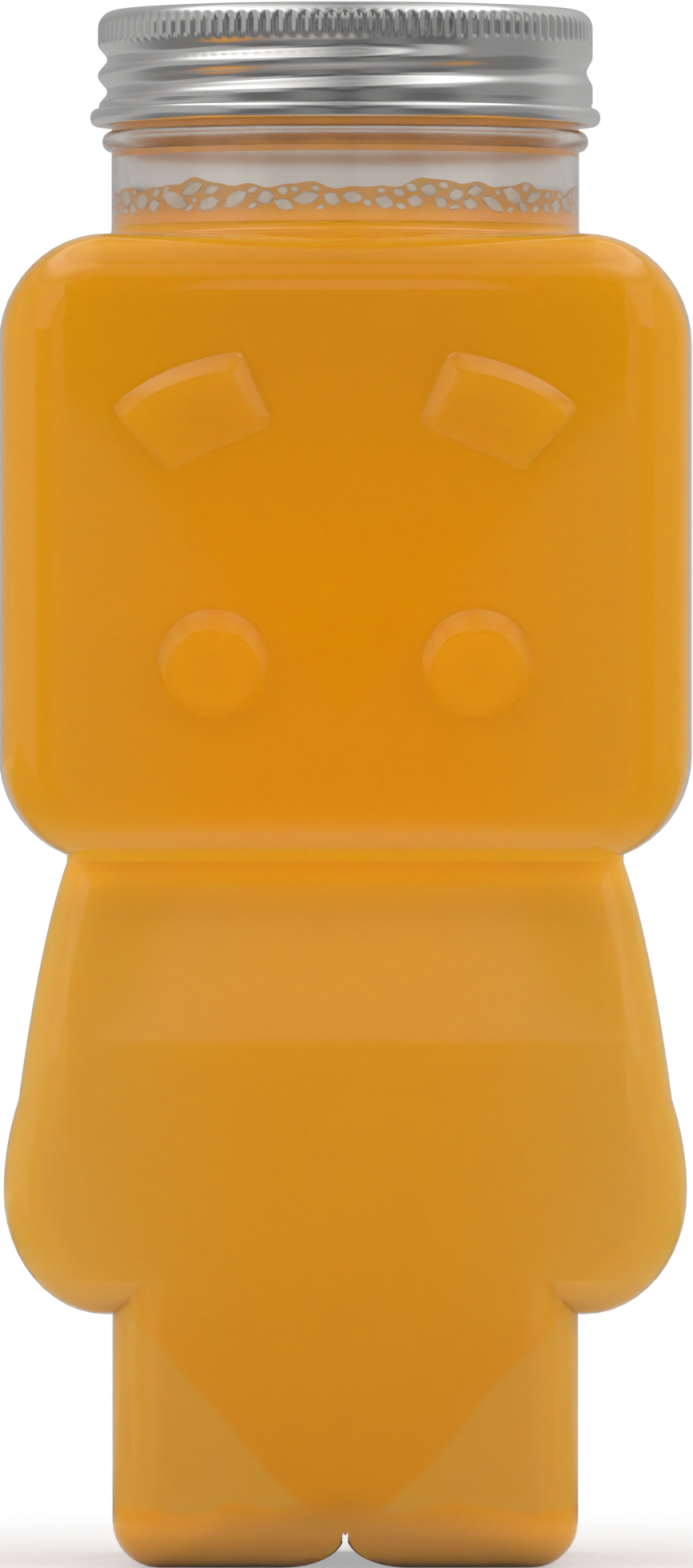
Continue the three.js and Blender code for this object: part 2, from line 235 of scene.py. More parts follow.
# %% Head
HEAD_WIDTH = 75 * MM
HEAD_CORNER = 11.5 * MM
HEAD_EDGE = 6 * MM
HEAD_CROWN = 1.5 * MM
SIDE_CROWN = 1.0 * MM
GRID_STEP = 3.5 * MM
CORNER_STEPS = 12
RELIEF_HEIGHT = 0.89 * MM
head_front = cad_low.y + RELIEF_HEIGHT
head_back = cad_high.y
head_middle = (head_z + head_top) / 2


def head_outline():
    """The head seen from the front, as four corner arcs."""
    x = HEAD_WIDTH / 2 - HEAD_CORNER
    low = head_z + HEAD_CORNER
    high = head_top - HEAD_CORNER
    points = []
    for quarter, (side, z) in enumerate(((x, low), (x, high), (-x, high), (-x, low))):
        start = 90 * quarter - 90
        points += arc(side, z, HEAD_CORNER, HEAD_CORNER, start, start + 90, CORNER_STEPS)
    return points


def face_swell(x, z):
    """The share of its depth that the head's front or back keeps at a place."""
    across = x / (HEAD_WIDTH / 2)
    up = (z - head_middle) / (HEAD_HEIGHT / 2)
    return 1 - HEAD_CROWN * (across**2 + up**2) / head_back


def head(inset):
    """The head's block, swollen in the middle of its faces."""
    bm = slab(head_outline(), head_front, head_back, HEAD_EDGE, inset)
    slice_through(bm, 0, -HEAD_WIDTH / 2, HEAD_WIDTH / 2, GRID_STEP)
    slice_through(bm, 1, head_front, head_back, GRID_STEP)
    slice_through(bm, 2, head_z, head_top, GRID_STEP)
    for vert in bm.verts:
        deep = vert.co.y / head_back
        swell = face_swell(vert.co.x, vert.co.z)
        vert.co.x *= 1 - SIDE_CROWN * deep**2 / (HEAD_WIDTH / 2)
        vert.co.y *= swell
    return as_object(bm, "head")


head_block = head(0)
print("head faces", len(head_block.data.polygons), "open edges", open_edges(head_block))

# %% [markdown]
# ## Torso, arms and legs
# Below the head the bottle is one flat slab. Its outline steps from the feet to the round hands, the cuffs
# and the sleeves. Straight lines would look cut, so arcs and quadratic curves draw it, as a mould would be
# milled. The upper chest leans back above a soft fold.

# %% Torso outline
LEG_WIDTH = 50 * MM
LEG_HEIGHT = 27.2 * MM
FOOT_CORNER = 5 * MM
HAND_WIDTH = 73.4 * MM
HAND_DROP = 13.15 * MM
HAND_RISE = 9.85 * MM
ARMPIT_STEP = 0.7 * MM
CUFF_INSET = 1.6 * MM
SLEEVE_INSET = 5.15 * MM
SLEEVE_BEND_INSET = 2.3 * MM
SLEEVE_BEND_RISE = 17.4 * MM
BODY_ROOT = 10 * MM
hand_z = LEG_HEIGHT + HAND_DROP
cuff_z = hand_z + HAND_RISE


def right_outline():
    """Half of the torso seen from the front, from the sole up into the head."""
    leg = LEG_WIDTH / 2
    hand = HAND_WIDTH / 2
    palm = leg + ARMPIT_STEP
    cuff = (hand - CUFF_INSET, cuff_z)
    shoulder = (cuff[0] - SLEEVE_INSET, head_z)
    points = arc(leg - FOOT_CORNER, FOOT_CORNER, FOOT_CORNER, FOOT_CORNER, -90, 0, ROUND_STEPS)
    points.append((leg, LEG_HEIGHT))
    points += arc(palm, hand_z, hand - palm, HAND_DROP, -90, 0, CORNER_STEPS)
    points += bend((hand, hand_z), (hand, hand_z + HAND_RISE / 2), cuff, ROUND_STEPS)
    bend_point = (cuff[0] - SLEEVE_BEND_INSET, cuff_z + SLEEVE_BEND_RISE)
    points += bend(cuff, bend_point, shoulder, CORNER_STEPS)
    points.append((shoulder[0], head_z + BODY_ROOT))
    return points


print("outline points on one side", len(right_outline()))

# %% Torso slab
BODY_DEPTH = 50 * MM
BODY_EDGE = 4.5 * MM
BODY_CROWN = 1.0 * MM
CHEST_HEIGHT = 21 * MM
CHEST_LEAN = 2.5 * MM
CHEST_CURVE = 0.35
FOLD_ROUND = 0.1
LEG_SWELL_Z = 13.6 * MM
LEG_SWELL_RADIUS = 1000 * MM


def chest_lean(z):
    """How far the front leans in at a height: a slow swell, and a chest above a soft fold."""
    rise = (z - head_z + CHEST_HEIGHT) / CHEST_HEIGHT
    folded = (rise + math.sqrt(rise**2 + FOLD_ROUND**2)) / 2
    swell = (z - LEG_SWELL_Z) ** 2 / (2 * LEG_SWELL_RADIUS)
    return CHEST_LEAN * folded * (1 + CHEST_CURVE * min(folded, 1)) + swell


def torso(inset):
    """The slab of torso, arms and legs."""
    right = right_outline()
    outline = right + [(-x, z) for x, z in reversed(right)]
    half = BODY_DEPTH / 2
    bm = slab(outline, -half, half, BODY_EDGE, inset)
    slice_through(bm, 0, -HAND_WIDTH / 2, HAND_WIDTH / 2, GRID_STEP)
    slice_through(bm, 2, 0, head_z + BODY_ROOT, GRID_STEP)
    for vert in bm.verts:
        across = vert.co.x / (HAND_WIDTH / 2)
        vert.co.y *= 1 - (chest_lean(vert.co.z) + BODY_CROWN * across**2) / half
    return as_object(bm, "torso")


torso_block = torso(0)
print("torso faces", len(torso_block.data.polygons), "open edges", open_edges(torso_block))

# %% [markdown]
# ## Eyes
# The face is only relief: four low pads with wide upper flanks, so that light from above draws a crescent
# over each of them. A pad is its outline drawn forward, whose front face is then extruded in a few steps
# that get smaller and slide down. At the end each pad is bent onto the swollen face. An eye is a round pad.

# %% Pads
PAD_ROOT = 1.2 * MM
FLANK = ((0.06, 0.2), (0.16, 0.36), (0.84, 0.92), (1.0, 1.0))


def pad(outline, sink, lift, top_share, slide, height_at):
    """A raised pad bent onto the face, whose top is a share of its foot and slid down."""
    bm = filled(outline, head_front + PAD_ROOT, 0)
    draw(bm, sink - PAD_ROOT)
    top = min(bm.faces, key=lambda face: face.calc_center_median().y)
    middle = top.calc_center_bounds()
    foot = [vert.co.copy() for vert in top.verts]
    for inward, upward in FLANK:
        top = bmesh.ops.extrude_discrete_faces(bm, faces=[top])["faces"][0]
        for vert, start in zip(top.verts, foot):
            away = start - middle
            height = height_at(start.x, start.z)
            vert.co.x = start.x - (away.x * (1 - top_share[0]) - slide[0] * height) * inward
            vert.co.y = start.y - (sink + lift * height) * upward
            vert.co.z = start.z - (away.z * (1 - top_share[1]) - slide[1] * height) * inward
    for vert in bm.verts:
        vert.co.y *= face_swell(vert.co.x, vert.co.z)
    return as_object(bm, "pad")


print("steps in a flank", len(FLANK))

# %% Eyes
EYE_RADIUS = 6.1 * MM
EYE_SPACING = 28.3 * MM
EYE_RISE = 21.4 * MM
EYE_SINK = 0.6 * MM
EYE_LIFT = 1.15 * MM
EYE_TOP = (0.82, 0.7)
EYE_SLIDE = (0, -1.2 * MM)
EYE_STEPS = 48


def eye_height(x, z):
    """The share of an eye's height at a place: all of it, everywhere."""
    return 1


def eye_outline(side):
    """One round eye, mirrored by side."""
    circle = arc(side * EYE_SPACING / 2, head_z + EYE_RISE, EYE_RADIUS, EYE_RADIUS, 0, 360, EYE_STEPS)
    return circle[:-1]


eyes = []
for side in (-1, 1):
    eyes.append(pad(eye_outline(side), EYE_SINK, EYE_LIFT, EYE_TOP, EYE_SLIDE, eye_height))
print("eyes", len(eyes), "open edges", [open_edges(piece) for piece in eyes])

# %% [markdown]
# ## Brows
# A brow is a slanted stroke with a bowed upper edge and small round corners. On the real bottle it is highest
# along that edge and melts into the face at its lower edge. So its height follows the square root of the
# distance from the lower edge, which keeps most of the brow nearly level.

# %% Brows
BROW_RISE = 41.7 * MM
BROW_TOE = (7.6 * MM, 5.1 * MM)
BROW_PEAK = (11.1 * MM, 13 * MM)
BROW_CROWN = (19.8 * MM, 11.7 * MM)
BROW_TIP = (25.2 * MM, 6.8 * MM)
BROW_HEEL = (19.2 * MM, 0)
BROW_ROUND = 1 * MM
BROW_SINK = 0.05 * MM
BROW_LIFT = 1.05 * MM
BROW_TOP = (0.78, 0.76)
BROW_SLIDE = (0.3 * MM, -0.9 * MM)
BROW_REACH = 8.6 * MM
BROW_LEAST = 0.05


def brow_height(x, z):
    """The share of a brow's height at a place: all of it along the top edge, least at the lower edge."""
    toe = Vector(BROW_TOE)
    along = (Vector(BROW_HEEL) - toe).normalized()
    place = Vector((abs(x), z - head_z - BROW_RISE)) - toe
    rise = place.y * along.x - place.x * along.y
    return math.sqrt(max(rise, 0) / BROW_REACH + BROW_LEAST)


def toward(start, stop, distance):
    """The point at a distance from start on the way to stop."""
    share = distance / math.dist(start, stop)
    return tuple(a + (b - a) * share for a, b in zip(start, stop))


def corner(before, point, after, distance):
    """A rounded corner of an outline."""
    start = toward(point, before, distance)
    return [start] + bend(start, point, toward(point, after, distance), ROUND_STEPS // 2)


def brow_outline(side):
    """One brow with rounded corners, mirrored by side."""
    points = corner(BROW_HEEL, BROW_TOE, BROW_PEAK, BROW_ROUND)
    points += corner(BROW_TOE, BROW_PEAK, BROW_CROWN, BROW_ROUND)
    points += bend(points[-1], BROW_CROWN, toward(BROW_TIP, BROW_CROWN, BROW_ROUND), CORNER_STEPS)[:-1]
    points += corner(BROW_CROWN, BROW_TIP, BROW_HEEL, BROW_ROUND)
    points += corner(BROW_TIP, BROW_HEEL, BROW_TOE, BROW_ROUND)
    return [(side * x, head_z + BROW_RISE + z) for x, z in points]


brows = []
for side in (-1, 1):
    slide = (side * BROW_SLIDE[0], BROW_SLIDE[1])
    brows.append(pad(brow_outline(side), BROW_SINK, BROW_LIFT, BROW_TOP, slide, brow_height))
print("brows", len(brows), "open edges", [open_edges(piece) for piece in brows])

# %% [markdown]
# ## The screw neck
# Neck, bead and rim are round, so they are one profile spun about the neck's axis, as on a lathe. The bead
# under the cap stiffens the neck. A small fillet joins the neck to the top of the head, because a blown wall
# doesn't turn a sharp corner.

# %% Neck
NECK_RADIUS = 25.35 * MM
NECK_WALL = 1.6 * MM
NECK_ROOT = 8 * MM
NECK_FILLET = 1.2 * MM
FILLET_SINK = 0.05 * MM
RIM_ROUND = 0.5 * MM
BEAD_STAND = 1 * MM
BEAD_HEIGHT = 2.2 * MM
BEAD_GAP = 0.6 * MM
TURN_STEPS = 128
bore_radius = NECK_RADIUS - NECK_WALL
bead_z = cap_low.z - BEAD_GAP - BEAD_HEIGHT / 2


def spun(profile, steps, closed=False):
    """A full turn of (radius, z) points, which run from axis to axis or round a closed section."""
    bm = bmesh.new()
    verts = [bm.verts.new((radius, 0, z)) for radius, z in profile]
    after = verts[1:] + verts[:1] if closed else verts[1:]
    edges = [bm.edges.new(pair) for pair in zip(verts, after)]
    bmesh.ops.spin(
        bm, geom=verts + edges, cent=(0, 0, 0), axis=(0, 0, 1), angle=2 * math.pi,
        steps=steps, use_merge=True,
    )
    bmesh.ops.remove_doubles(bm, verts=bm.verts[:], dist=TINY)
    bmesh.ops.recalc_face_normals(bm, faces=bm.faces[:])
    return bm


def neck_profile():
    """The neck's outside, from inside the head up to the rim."""
    foot = NECK_RADIUS + NECK_FILLET
    low = head_top - NECK_ROOT
    fillet_z = head_top + NECK_FILLET - FILLET_SINK
    profile = [(0, low), (foot, low)]
    profile += arc(foot, fillet_z, NECK_FILLET, NECK_FILLET, 270, 180, ROUND_STEPS)
    profile += arc(NECK_RADIUS, bead_z, BEAD_STAND, BEAD_HEIGHT / 2, -90, 90, CORNER_STEPS)
    profile += arc(NECK_RADIUS - RIM_ROUND, rim_z - RIM_ROUND, RIM_ROUND, RIM_ROUND, 0, 90, ROUND_STEPS)
    return profile + [(0, rim_z)]


neck = as_object(spun(neck_profile(), TURN_STEPS), "neck")
print("neck open edges", open_edges(neck))

# %% [markdown]
# ## The thread
# The cap screws onto a thread of little more than one turn. It is a small section spun with a rise: in a
# spin, dvec is the step that each copy moves along, so a turn of steps climbs one pitch. The ends of the
# thread fade into the neck.

# %% Thread
THREAD_PITCH = 4.23 * MM
THREAD_STAND = 0.85 * MM
THREAD_FOOT = 2 * MM
THREAD_CREST = 0.9 * MM
THREAD_TURNS = 1.2
THREAD_START = 1.75 * MM
THREAD_END_ANGLE = 0.9
THREAD_STEPS = 144
THREAD_FADE = 0.08
THREAD_LEAST = 0.2
SINK = 0.3 * MM
thread_top = rim_z - THREAD_START - THREAD_CREST / 2


def neck_thread():
    """The right-hand thread on the neck, rising anticlockwise to its upper end."""
    inner = NECK_RADIUS - SINK
    outer = NECK_RADIUS + THREAD_STAND
    rise = THREAD_PITCH * THREAD_TURNS
    low = thread_top - rise
    turn = 2 * math.pi * THREAD_TURNS
    half_foot = THREAD_FOOT / 2
    half_crest = THREAD_CREST / 2
    section = [(inner, -half_foot), (outer, -half_crest), (outer, half_crest), (inner, half_foot)]
    bm = bmesh.new()
    start = bm.faces.new([bm.verts.new((radius, 0, low + lift)) for radius, lift in section])
    bmesh.ops.spin(
        bm, geom=[start], cent=(0, 0, 0), axis=(0, 0, 1), dvec=(0, 0, rise / THREAD_STEPS),
        angle=turn, steps=THREAD_STEPS,
    )
    for vert in bm.verts:
        angle = math.atan2(vert.co.y, vert.co.x) % (2 * math.pi)
        laps = (angle, angle + 2 * math.pi)
        along = min((lap / turn for lap in laps), key=lambda t: abs(low + rise * t - vert.co.z))
        ends = min(1, along / THREAD_FADE, (1 - along) / THREAD_FADE)
        radius = math.hypot(vert.co.x, vert.co.y)
        faded = inner + (radius - inner) * max(ends, THREAD_LEAST)
        vert.co.x *= faded / radius
        vert.co.y *= faded / radius
    turned = Matrix.Rotation(THREAD_END_ANGLE - turn, 3, "Z")
    bmesh.ops.rotate(bm, verts=bm.verts[:], cent=(0, 0, 0), matrix=turned)
    return as_object(bm, "thread")


thread = neck_thread()
print("thread open edges", open_edges(thread))

# %% [markdown]
# ## One hollow shell
# The outside of the bottle is the head, torso, face, neck and thread joined into one. The inside is made by
# the same functions with an inset as thick as the wall, and is cut out. A wedge with curved sides cuts the
# notch between the feet first.

# %% Shell
WALL = 0.6 * MM
CLEFT_WIDTH = 14 * MM
CLEFT_HEIGHT = 3.7 * MM
CLEFT_TIP = 0.12 * MM
CLEFT_THIN = 0.3
REACH = 2 * MM


def cleft(inset):
    """The notch between the feet, as a cutter that runs through front and back."""
    half = CLEFT_WIDTH / 2
    thin = inset * CLEFT_THIN
    tip = CLEFT_TIP + thin
    side = arc(half, CLEFT_HEIGHT + thin, half - tip, CLEFT_HEIGHT, 270, 180, CORNER_STEPS)
    right = [(half, -REACH)] + side
    bm = filled(right + [(-x, z) for x, z in reversed(right)], -BODY_DEPTH / 2 - REACH, 0)
    draw(bm, BODY_DEPTH + 2 * REACH)
    return as_object(bm, "cleft")


def bore(radius):
    """The neck's bore, from inside the head to above the rim."""
    low = head_top - NECK_ROOT
    high = rim_z + REACH
    return as_object(spun([(0, low), (radius, low), (radius, high), (0, high)], TURN_STEPS), "bore")


def hollow(inset, bore_width):
    """The inside of the bottle, as far from the outside as the inset."""
    body = combine(torso(inset), cleft(inset), "DIFFERENCE")
    body = combine(body, head(inset), "UNION")
    return combine(body, bore(bore_width), "UNION")


shell = combine(torso_block, cleft(0), "DIFFERENCE")
for part in [head_block, eyes[0], brows[0], eyes[1], brows[1], neck, thread]:
    shell = combine(shell, part, "UNION")
outside_faces = len(shell.data.polygons)
shell = combine(shell, hollow(WALL, bore_radius), "DIFFERENCE")
weld(shell)
shell.name = "clear_bottle"
print("outside faces", outside_faces, "shell faces", len(shell.data.polygons))
print("shell open edges", open_edges(shell))

# %% [markdown]
# ## The juice
# Juice wets the wall, so there is no air between them. Modelling it a tenth of a millimetre into the wall
# keeps the two surfaces from sharing a place, which a renderer can't sort out. A plane cuts it off at its
# level in the neck, and one face closes it there.

# %% Juice
WETTING = 0.1 * MM
juice = hollow(WALL - WETTING, bore_radius + WETTING)
bm = bmesh.new()
bm.from_mesh(juice.data)
level = bmesh.ops.bisect_plane(
    bm, geom=bm.verts[:] + bm.edges[:] + bm.faces[:], dist=TINY,
    plane_co=(0, 0, juice_high.z), plane_no=(0, 0, 1), clear_outer=True,
)
rim = [part for part in level["geom_cut"] if isinstance(part, bmesh.types.BMEdge)]
bmesh.ops.contextual_create(bm, geom=rim)
bm.to_mesh(juice.data)
bm.free()
weld(juice)
juice.name = "orange_juice"
print("juice faces", len(juice.data.polygons), "open edges", open_edges(juice))

# %% [markdown]
# ## Froth in the neck
# Shaken juice leaves bubbles along the wall of the neck. Through the clear wall they look like pale windows
# between thin orange films. The film is a thin spun ring with an uneven top edge. The bubbles are flat
# stretched balls that stand out of it by a hair and meet the wall. Their places come from a seeded random
# draw, and one that would meet another is left out. Higher up, a thin orange ring on the wall is painted
# light: it stands for the juice's colour carried up through the neck's wall.

# %% Froth film
FILM_WIDTH = 1.6 * MM
FILM_WETTING = 0.1 * MM
FILM_ROOT = 0.4 * MM
FILM_DROP = 0.75 * MM
FILM_STEPS = 256
FILM_WAVES = ((5, 0.3, 0.4), (11, 0.28, 1.9), (23, 0.2, 4.1), (41, 0.12, 2.3))
film_low = juice_high.z - FILM_ROOT
film_high = froth_high.z - FILM_DROP


def film_top(angle):
    """The film's uneven top edge at an angle round the neck."""
    waves = [size * math.sin(count * angle + start) for count, size, start in FILM_WAVES]
    return film_high + sum(waves) * MM


def froth_film():
    """The orange film, a thin ring along the wall with a wavy top."""
    outer = bore_radius + FILM_WETTING
    inner = outer - FILM_WIDTH
    inner_high = film_high - FILM_WIDTH / 2
    section = [(inner, film_low), (outer, film_low), (outer, film_high), (inner, inner_high)]
    bm = spun(section, FILM_STEPS, closed=True)
    for vert in bm.verts:
        if vert.co.z > (film_low + film_high) / 2:
            vert.co.z += film_top(math.atan2(vert.co.y, vert.co.x)) - film_high
    return as_object(bm, "juice_film")


film = froth_film()
print("film faces", len(film.data.polygons), "open edges", open_edges(film))

# %% Bubbles
BUBBLE_SMALL = 0.3 * MM
BUBBLE_LARGE = 0.85 * MM
BUBBLE_SPREAD = (0.6, 1)
BUBBLE_LONG = (1.2, 2.6)
BUBBLE_FLOOR = 0.6 * MM
BUBBLE_TRIES = 14000
BUBBLE_GAP = 0.13 * MM
BUBBLE_LEAN = (0.1, 0.5)
BUBBLE_STAND = 0.1 * MM
random.seed(12)


def bubble_places():
    """Places, half sizes and leans of bubbles that don't meet each other, large ones first."""
    places = []
    for number in range(BUBBLE_TRIES):
        share = 1 - number / BUBBLE_TRIES
        high = BUBBLE_SMALL + (BUBBLE_LARGE - BUBBLE_SMALL) * share * random.uniform(*BUBBLE_SPREAD)
        wide = high * random.uniform(*BUBBLE_LONG)
        angle = random.uniform(-math.pi, math.pi)
        z = random.uniform(juice_high.z + BUBBLE_FLOOR + high, film_top(angle) - high - BUBBLE_GAP)
        lean = random.choice((-1, 1)) * random.uniform(*BUBBLE_LEAN)
        clear = True
        for other_angle, other_z, other_wide, other_high, _ in places:
            across = abs((angle - other_angle + math.pi) % (2 * math.pi) - math.pi) * bore_radius
            along = across / (wide + other_wide + BUBBLE_GAP)
            up = (z - other_z) / (high + other_high + BUBBLE_GAP)
            if along**2 + up**2 < 1:
                clear = False
                break
        if clear:
            places.append((angle, z, wide, high, lean))
    return places


def bubbles(places):
    """Flat bubbles against the wall."""
    bm = bmesh.new()
    for angle, z, wide, high, lean in places:
        spin = Matrix.Rotation(angle, 4, "Z") @ Matrix.Translation((bore_radius + FILM_WETTING, 0, z))
        shape = Matrix.Rotation(lean, 4, "X") @ Matrix.Diagonal((BUBBLE_STAND, wide, high, 1))
        bmesh.ops.create_icosphere(bm, subdivisions=2, radius=1, matrix=spin @ shape)
    return as_object(bm, "froth_bubbles")


places = bubble_places()
film_bubbles = bubbles(places)
print("bubbles", len(places))

# %% Neck light ring
NECK_LIGHT_LOW = 152 * MM
NECK_LIGHT_HIGH = 158.5 * MM
NECK_LIGHT_DEPTH = 0.05 * MM


def neck_light_ring():
    """A thin ring inside the upper neck, painted with the orange light that the neck's wall carries up."""
    outer = bore_radius + NECK_LIGHT_DEPTH
    inner = bore_radius - NECK_LIGHT_DEPTH
    section = [(inner, NECK_LIGHT_LOW), (outer, NECK_LIGHT_LOW), (outer, NECK_LIGHT_HIGH), (inner, NECK_LIGHT_HIGH)]
    return as_object(spun(section, TURN_STEPS, closed=True), "painted_neck_light")


neck_light = neck_light_ring()
print("stain faces", len(neck_light.data.polygons), "open edges", open_edges(neck_light))

# %% [markdown]
# ## The screw cap
# The cap is drawn from thin aluminium, and its cut edge is rolled into a curl, so that it doesn't cut the
# fingers. Its section runs from the middle of the top down the skirt, round the curl and back up inside. The
# skirt has many short levels, which the rolled groove of the next step needs.

# %% Cap section
CAP_WALL = 0.4 * MM
CORNER_WIDE = 1.9 * MM
CORNER_HIGH = 2 * MM
SKIRT_END = 157.9 * MM
SKIRT_STEP = 0.25 * MM
CURL_WIDE = 0.63 * MM
CURL_HIGH = 0.9 * MM
CURL_START = 115
NECK_IN = 0.25 * MM
TOP_RING = (21.2 * MM, 22.4 * MM)
TOP_RING_DEPTH = 0.12 * MM
CAP_PLAY = 0.23 * MM
cap_top = cap_high.z
curl_radius = cap_high.x
cap_radius = NECK_RADIUS + THREAD_STAND + CAP_PLAY + CAP_WALL
skirt_inside = cap_radius - CAP_WALL
skirt_start = cap_top - CORNER_HIGH


def levels(high, low, step):
    """Evenly spaced heights from high to low."""
    count = math.ceil((high - low) / step)
    return [high + (low - high) * number / count for number in range(count + 1)]


def cap_profile():
    """The cap's section from the middle of its top, round the curl and back inside."""
    ring_in, ring_out = TOP_RING
    ring_z = cap_top - TOP_RING_DEPTH
    profile = [(0, cap_top), (ring_in - TOP_RING_DEPTH, cap_top), (ring_in, ring_z), (ring_out, ring_z)]
    profile += [(ring_out + TOP_RING_DEPTH, cap_top)]
    profile += arc(cap_radius - CORNER_WIDE, skirt_start, CORNER_WIDE, CORNER_HIGH, 90, 0, CORNER_STEPS)[:-1]
    profile += [(cap_radius, z) for z in levels(skirt_start, SKIRT_END, SKIRT_STEP)]
    curl_x = curl_radius - CURL_WIDE
    curl_z = cap_low.z + CURL_HIGH
    profile += [(cap_radius - NECK_IN / 2, SKIRT_END - NECK_IN)]
    profile += arc(curl_x, curl_z, CURL_WIDE, CURL_HIGH, CURL_START, -180, 2 * CORNER_STEPS)
    inside_levels = levels(skirt_start, SKIRT_END - NECK_IN, 2 * SKIRT_STEP)
    profile += [(skirt_inside, z) for z in reversed(inside_levels)]
    inner_top = cap_top - CAP_WALL
    inner_wide = CORNER_WIDE - CAP_WALL
    inner_high = CORNER_HIGH - CAP_WALL
    profile += arc(cap_radius - CORNER_WIDE, skirt_start, inner_wide, inner_high, 0, 90, ROUND_STEPS)[1:]
    return profile + [(0, inner_top)]


print("cap radius, mm:", round(cap_radius / MM, 2), "section points", len(cap_profile()))

# %% [markdown]
# ## Groove and flutes
# A roller has pressed the thread into the skirt, and flutes give the fingers a grip. The section is spun with
# six columns to a flute. Then each point of the skirt moves in by the depth of the flute or of the helical
# groove at its place. The groove gets shallower where it runs out under the flutes, as the roller leaves the
# metal. Inside, the same helix stands in as the ridge that engages the neck's thread.

# %% Rolled groove
GROOVE_RIGHT_Z = 161.2 * MM
GROOVE_LOW = -298
GROOVE_HIGH = 306
GROOVE_FADE_LOW = 70
GROOVE_FADE_HIGH = 34
GROOVE_FLATTEN = 0.66
GROOVE_DEPTH = 0.83 * MM
GROOVE_SWING = 0.18 * MM
GROOVE_HALF = 1.7 * MM
RIDGE_DEPTH = 0.72 * MM
RIDGE_FLOOR = 0.5 * MM
RIDGE_FOOT = 1.2 * MM
RIDGE_END = 40
RIDGE_FADE = 30


def ramp(value, low, high):
    """0 below low, 1 above high, and a straight line between."""
    return min(1, max(0, (value - low) / (high - low)))


def groove_z(turn):
    """The groove's height at a place along it, in degrees from the right side."""
    return GROOVE_RIGHT_Z + THREAD_PITCH * turn * (GROOVE_FLATTEN if turn > 0 else 1) / 360


def groove_depth(turn, z):
    """How far the rolled groove goes in, seen from outside."""
    away = abs(z - groove_z(turn)) / GROOVE_HALF
    ends = ramp(turn, GROOVE_LOW, GROOVE_LOW + GROOVE_FADE_LOW)
    ends *= 1 - ramp(turn, GROOVE_HIGH - GROOVE_FADE_HIGH, GROOVE_HIGH)
    deep = GROOVE_DEPTH - GROOVE_SWING * math.cos(math.radians(turn))
    return ends * deep * math.cos(math.pi / 2 * min(1, away)) ** 2


def ridge_depth(turn, z):
    """How far the thread inside the cap stands in, which engages the neck's thread."""
    away = abs(z - groove_z(turn))
    ends = ramp(turn, GROOVE_LOW, GROOVE_LOW + GROOVE_FADE_LOW)
    ends *= 1 - ramp(turn, RIDGE_END, RIDGE_END + RIDGE_FADE)
    return ends * RIDGE_DEPTH * (1 - ramp(away, RIDGE_FLOOR, RIDGE_FOOT))


print("groove depth in front, mm:", round(groove_depth(-90, groove_z(-90)) / MM, 2))

# %% Flutes
FLUTE_COUNT = 116
FLUTE_COLUMNS = 6
FLUTE_DROP = 0.9 * MM
FLUTE_HEIGHT = 2.9 * MM
FLUTE_DEPTH = 0.24 * MM
FLUTE_SHARE = 0.36
FLUTE_END = 0.4 * MM


def flute_depth(angle, z):
    """How far a flute goes in at a place on the cap's upper edge."""
    across = (angle * FLUTE_COUNT / 360 + 0.5) % 1 - 0.5
    hollow_share = math.cos(math.pi / 2 * min(1, abs(across) / FLUTE_SHARE)) ** 2
    high = cap_top - FLUTE_DROP
    low = high - FLUTE_HEIGHT
    return FLUTE_DEPTH * hollow_share * ramp(z, low, low + FLUTE_END) * (1 - ramp(z, high - FLUTE_END, high))


print("flutes", FLUTE_COUNT, "points round the cap", FLUTE_COUNT * FLUTE_COLUMNS)

# %% Cap
LEAST_WALL = 0.1 * MM


def roll_skirt(bm):
    """Moves the skirt's points in to the flutes, the groove and the inner ridge."""
    middle = (cap_radius + skirt_inside) / 2
    for vert in bm.verts:
        radius = math.hypot(vert.co.x, vert.co.y)
        z = vert.co.z
        if radius < cap_radius - CORNER_WIDE or z < SKIRT_END - NECK_IN / 2:
            continue
        angle = math.degrees(math.atan2(vert.co.y, vert.co.x)) % 360
        outer = cap_radius - max(groove_depth(angle, z), groove_depth(angle - 360, z))
        if radius > middle or z > skirt_start:
            moved = radius - (cap_radius - outer) - flute_depth(angle, z) * (radius > skirt_inside)
        else:
            inner = skirt_inside - max(ridge_depth(angle, z), ridge_depth(angle - 360, z))
            moved = min(inner, outer - LEAST_WALL)
        vert.co.x *= moved / radius
        vert.co.y *= moved / radius


bm = spun(cap_profile(), FLUTE_COUNT * FLUTE_COLUMNS)
roll_skirt(bm)
cap = as_object(bm, "screw_cap")
print("cap faces", len(cap.data.polygons), "open edges", open_edges(cap))

# %% [markdown]
# ## The liner
# A disc of white foam lies loose in the cap and seals against the rim. The rim has pressed a shallow ring
# into its underside, so its profile has a step there. It is round, so the profile is spun.

# %% Liner
LINER_EDGE = 0.2 * MM
PRESS_DEPTH = 0.15 * MM
liner_radius = liner_high.x


def liner_profile():
    """The liner's section, with the ring that the rim has pressed into it."""
    low = liner_low.z
    high = liner_high.z
    pressed = low + PRESS_DEPTH
    ring_in = bore_radius - PRESS_DEPTH
    ring_out = liner_radius - LINER_EDGE
    profile = [(0, low), (ring_in - PRESS_DEPTH, low), (ring_in, pressed), (ring_out, pressed)]
    profile += [(liner_radius, pressed + LINER_EDGE), (liner_radius, high - LINER_EDGE)]
    return profile + [(liner_radius - LINER_EDGE, high), (0, high)]


liner = as_object(spun(liner_profile(), TURN_STEPS), "foam_liner")
print("liner faces", len(liner.data.polygons), "open edges", open_edges(liner))

# %% [markdown]
# ## Smooth shading
# All of these shapes are soft, so their faces are shaded smooth, with a crease only at real edges. A Weighted
# Normal modifier keeps large flat faces flat beside small round ones.

# %% Shading
def shade(piece, crease):
    """Smooth shading with creases above an angle in degrees."""
    piece.data.shade_smooth()
    piece.data.set_sharp_from_angle(angle=math.radians(crease))
    weighted = piece.modifiers.new("weighted_normals", "WEIGHTED_NORMAL")
    weighted.keep_sharp = True


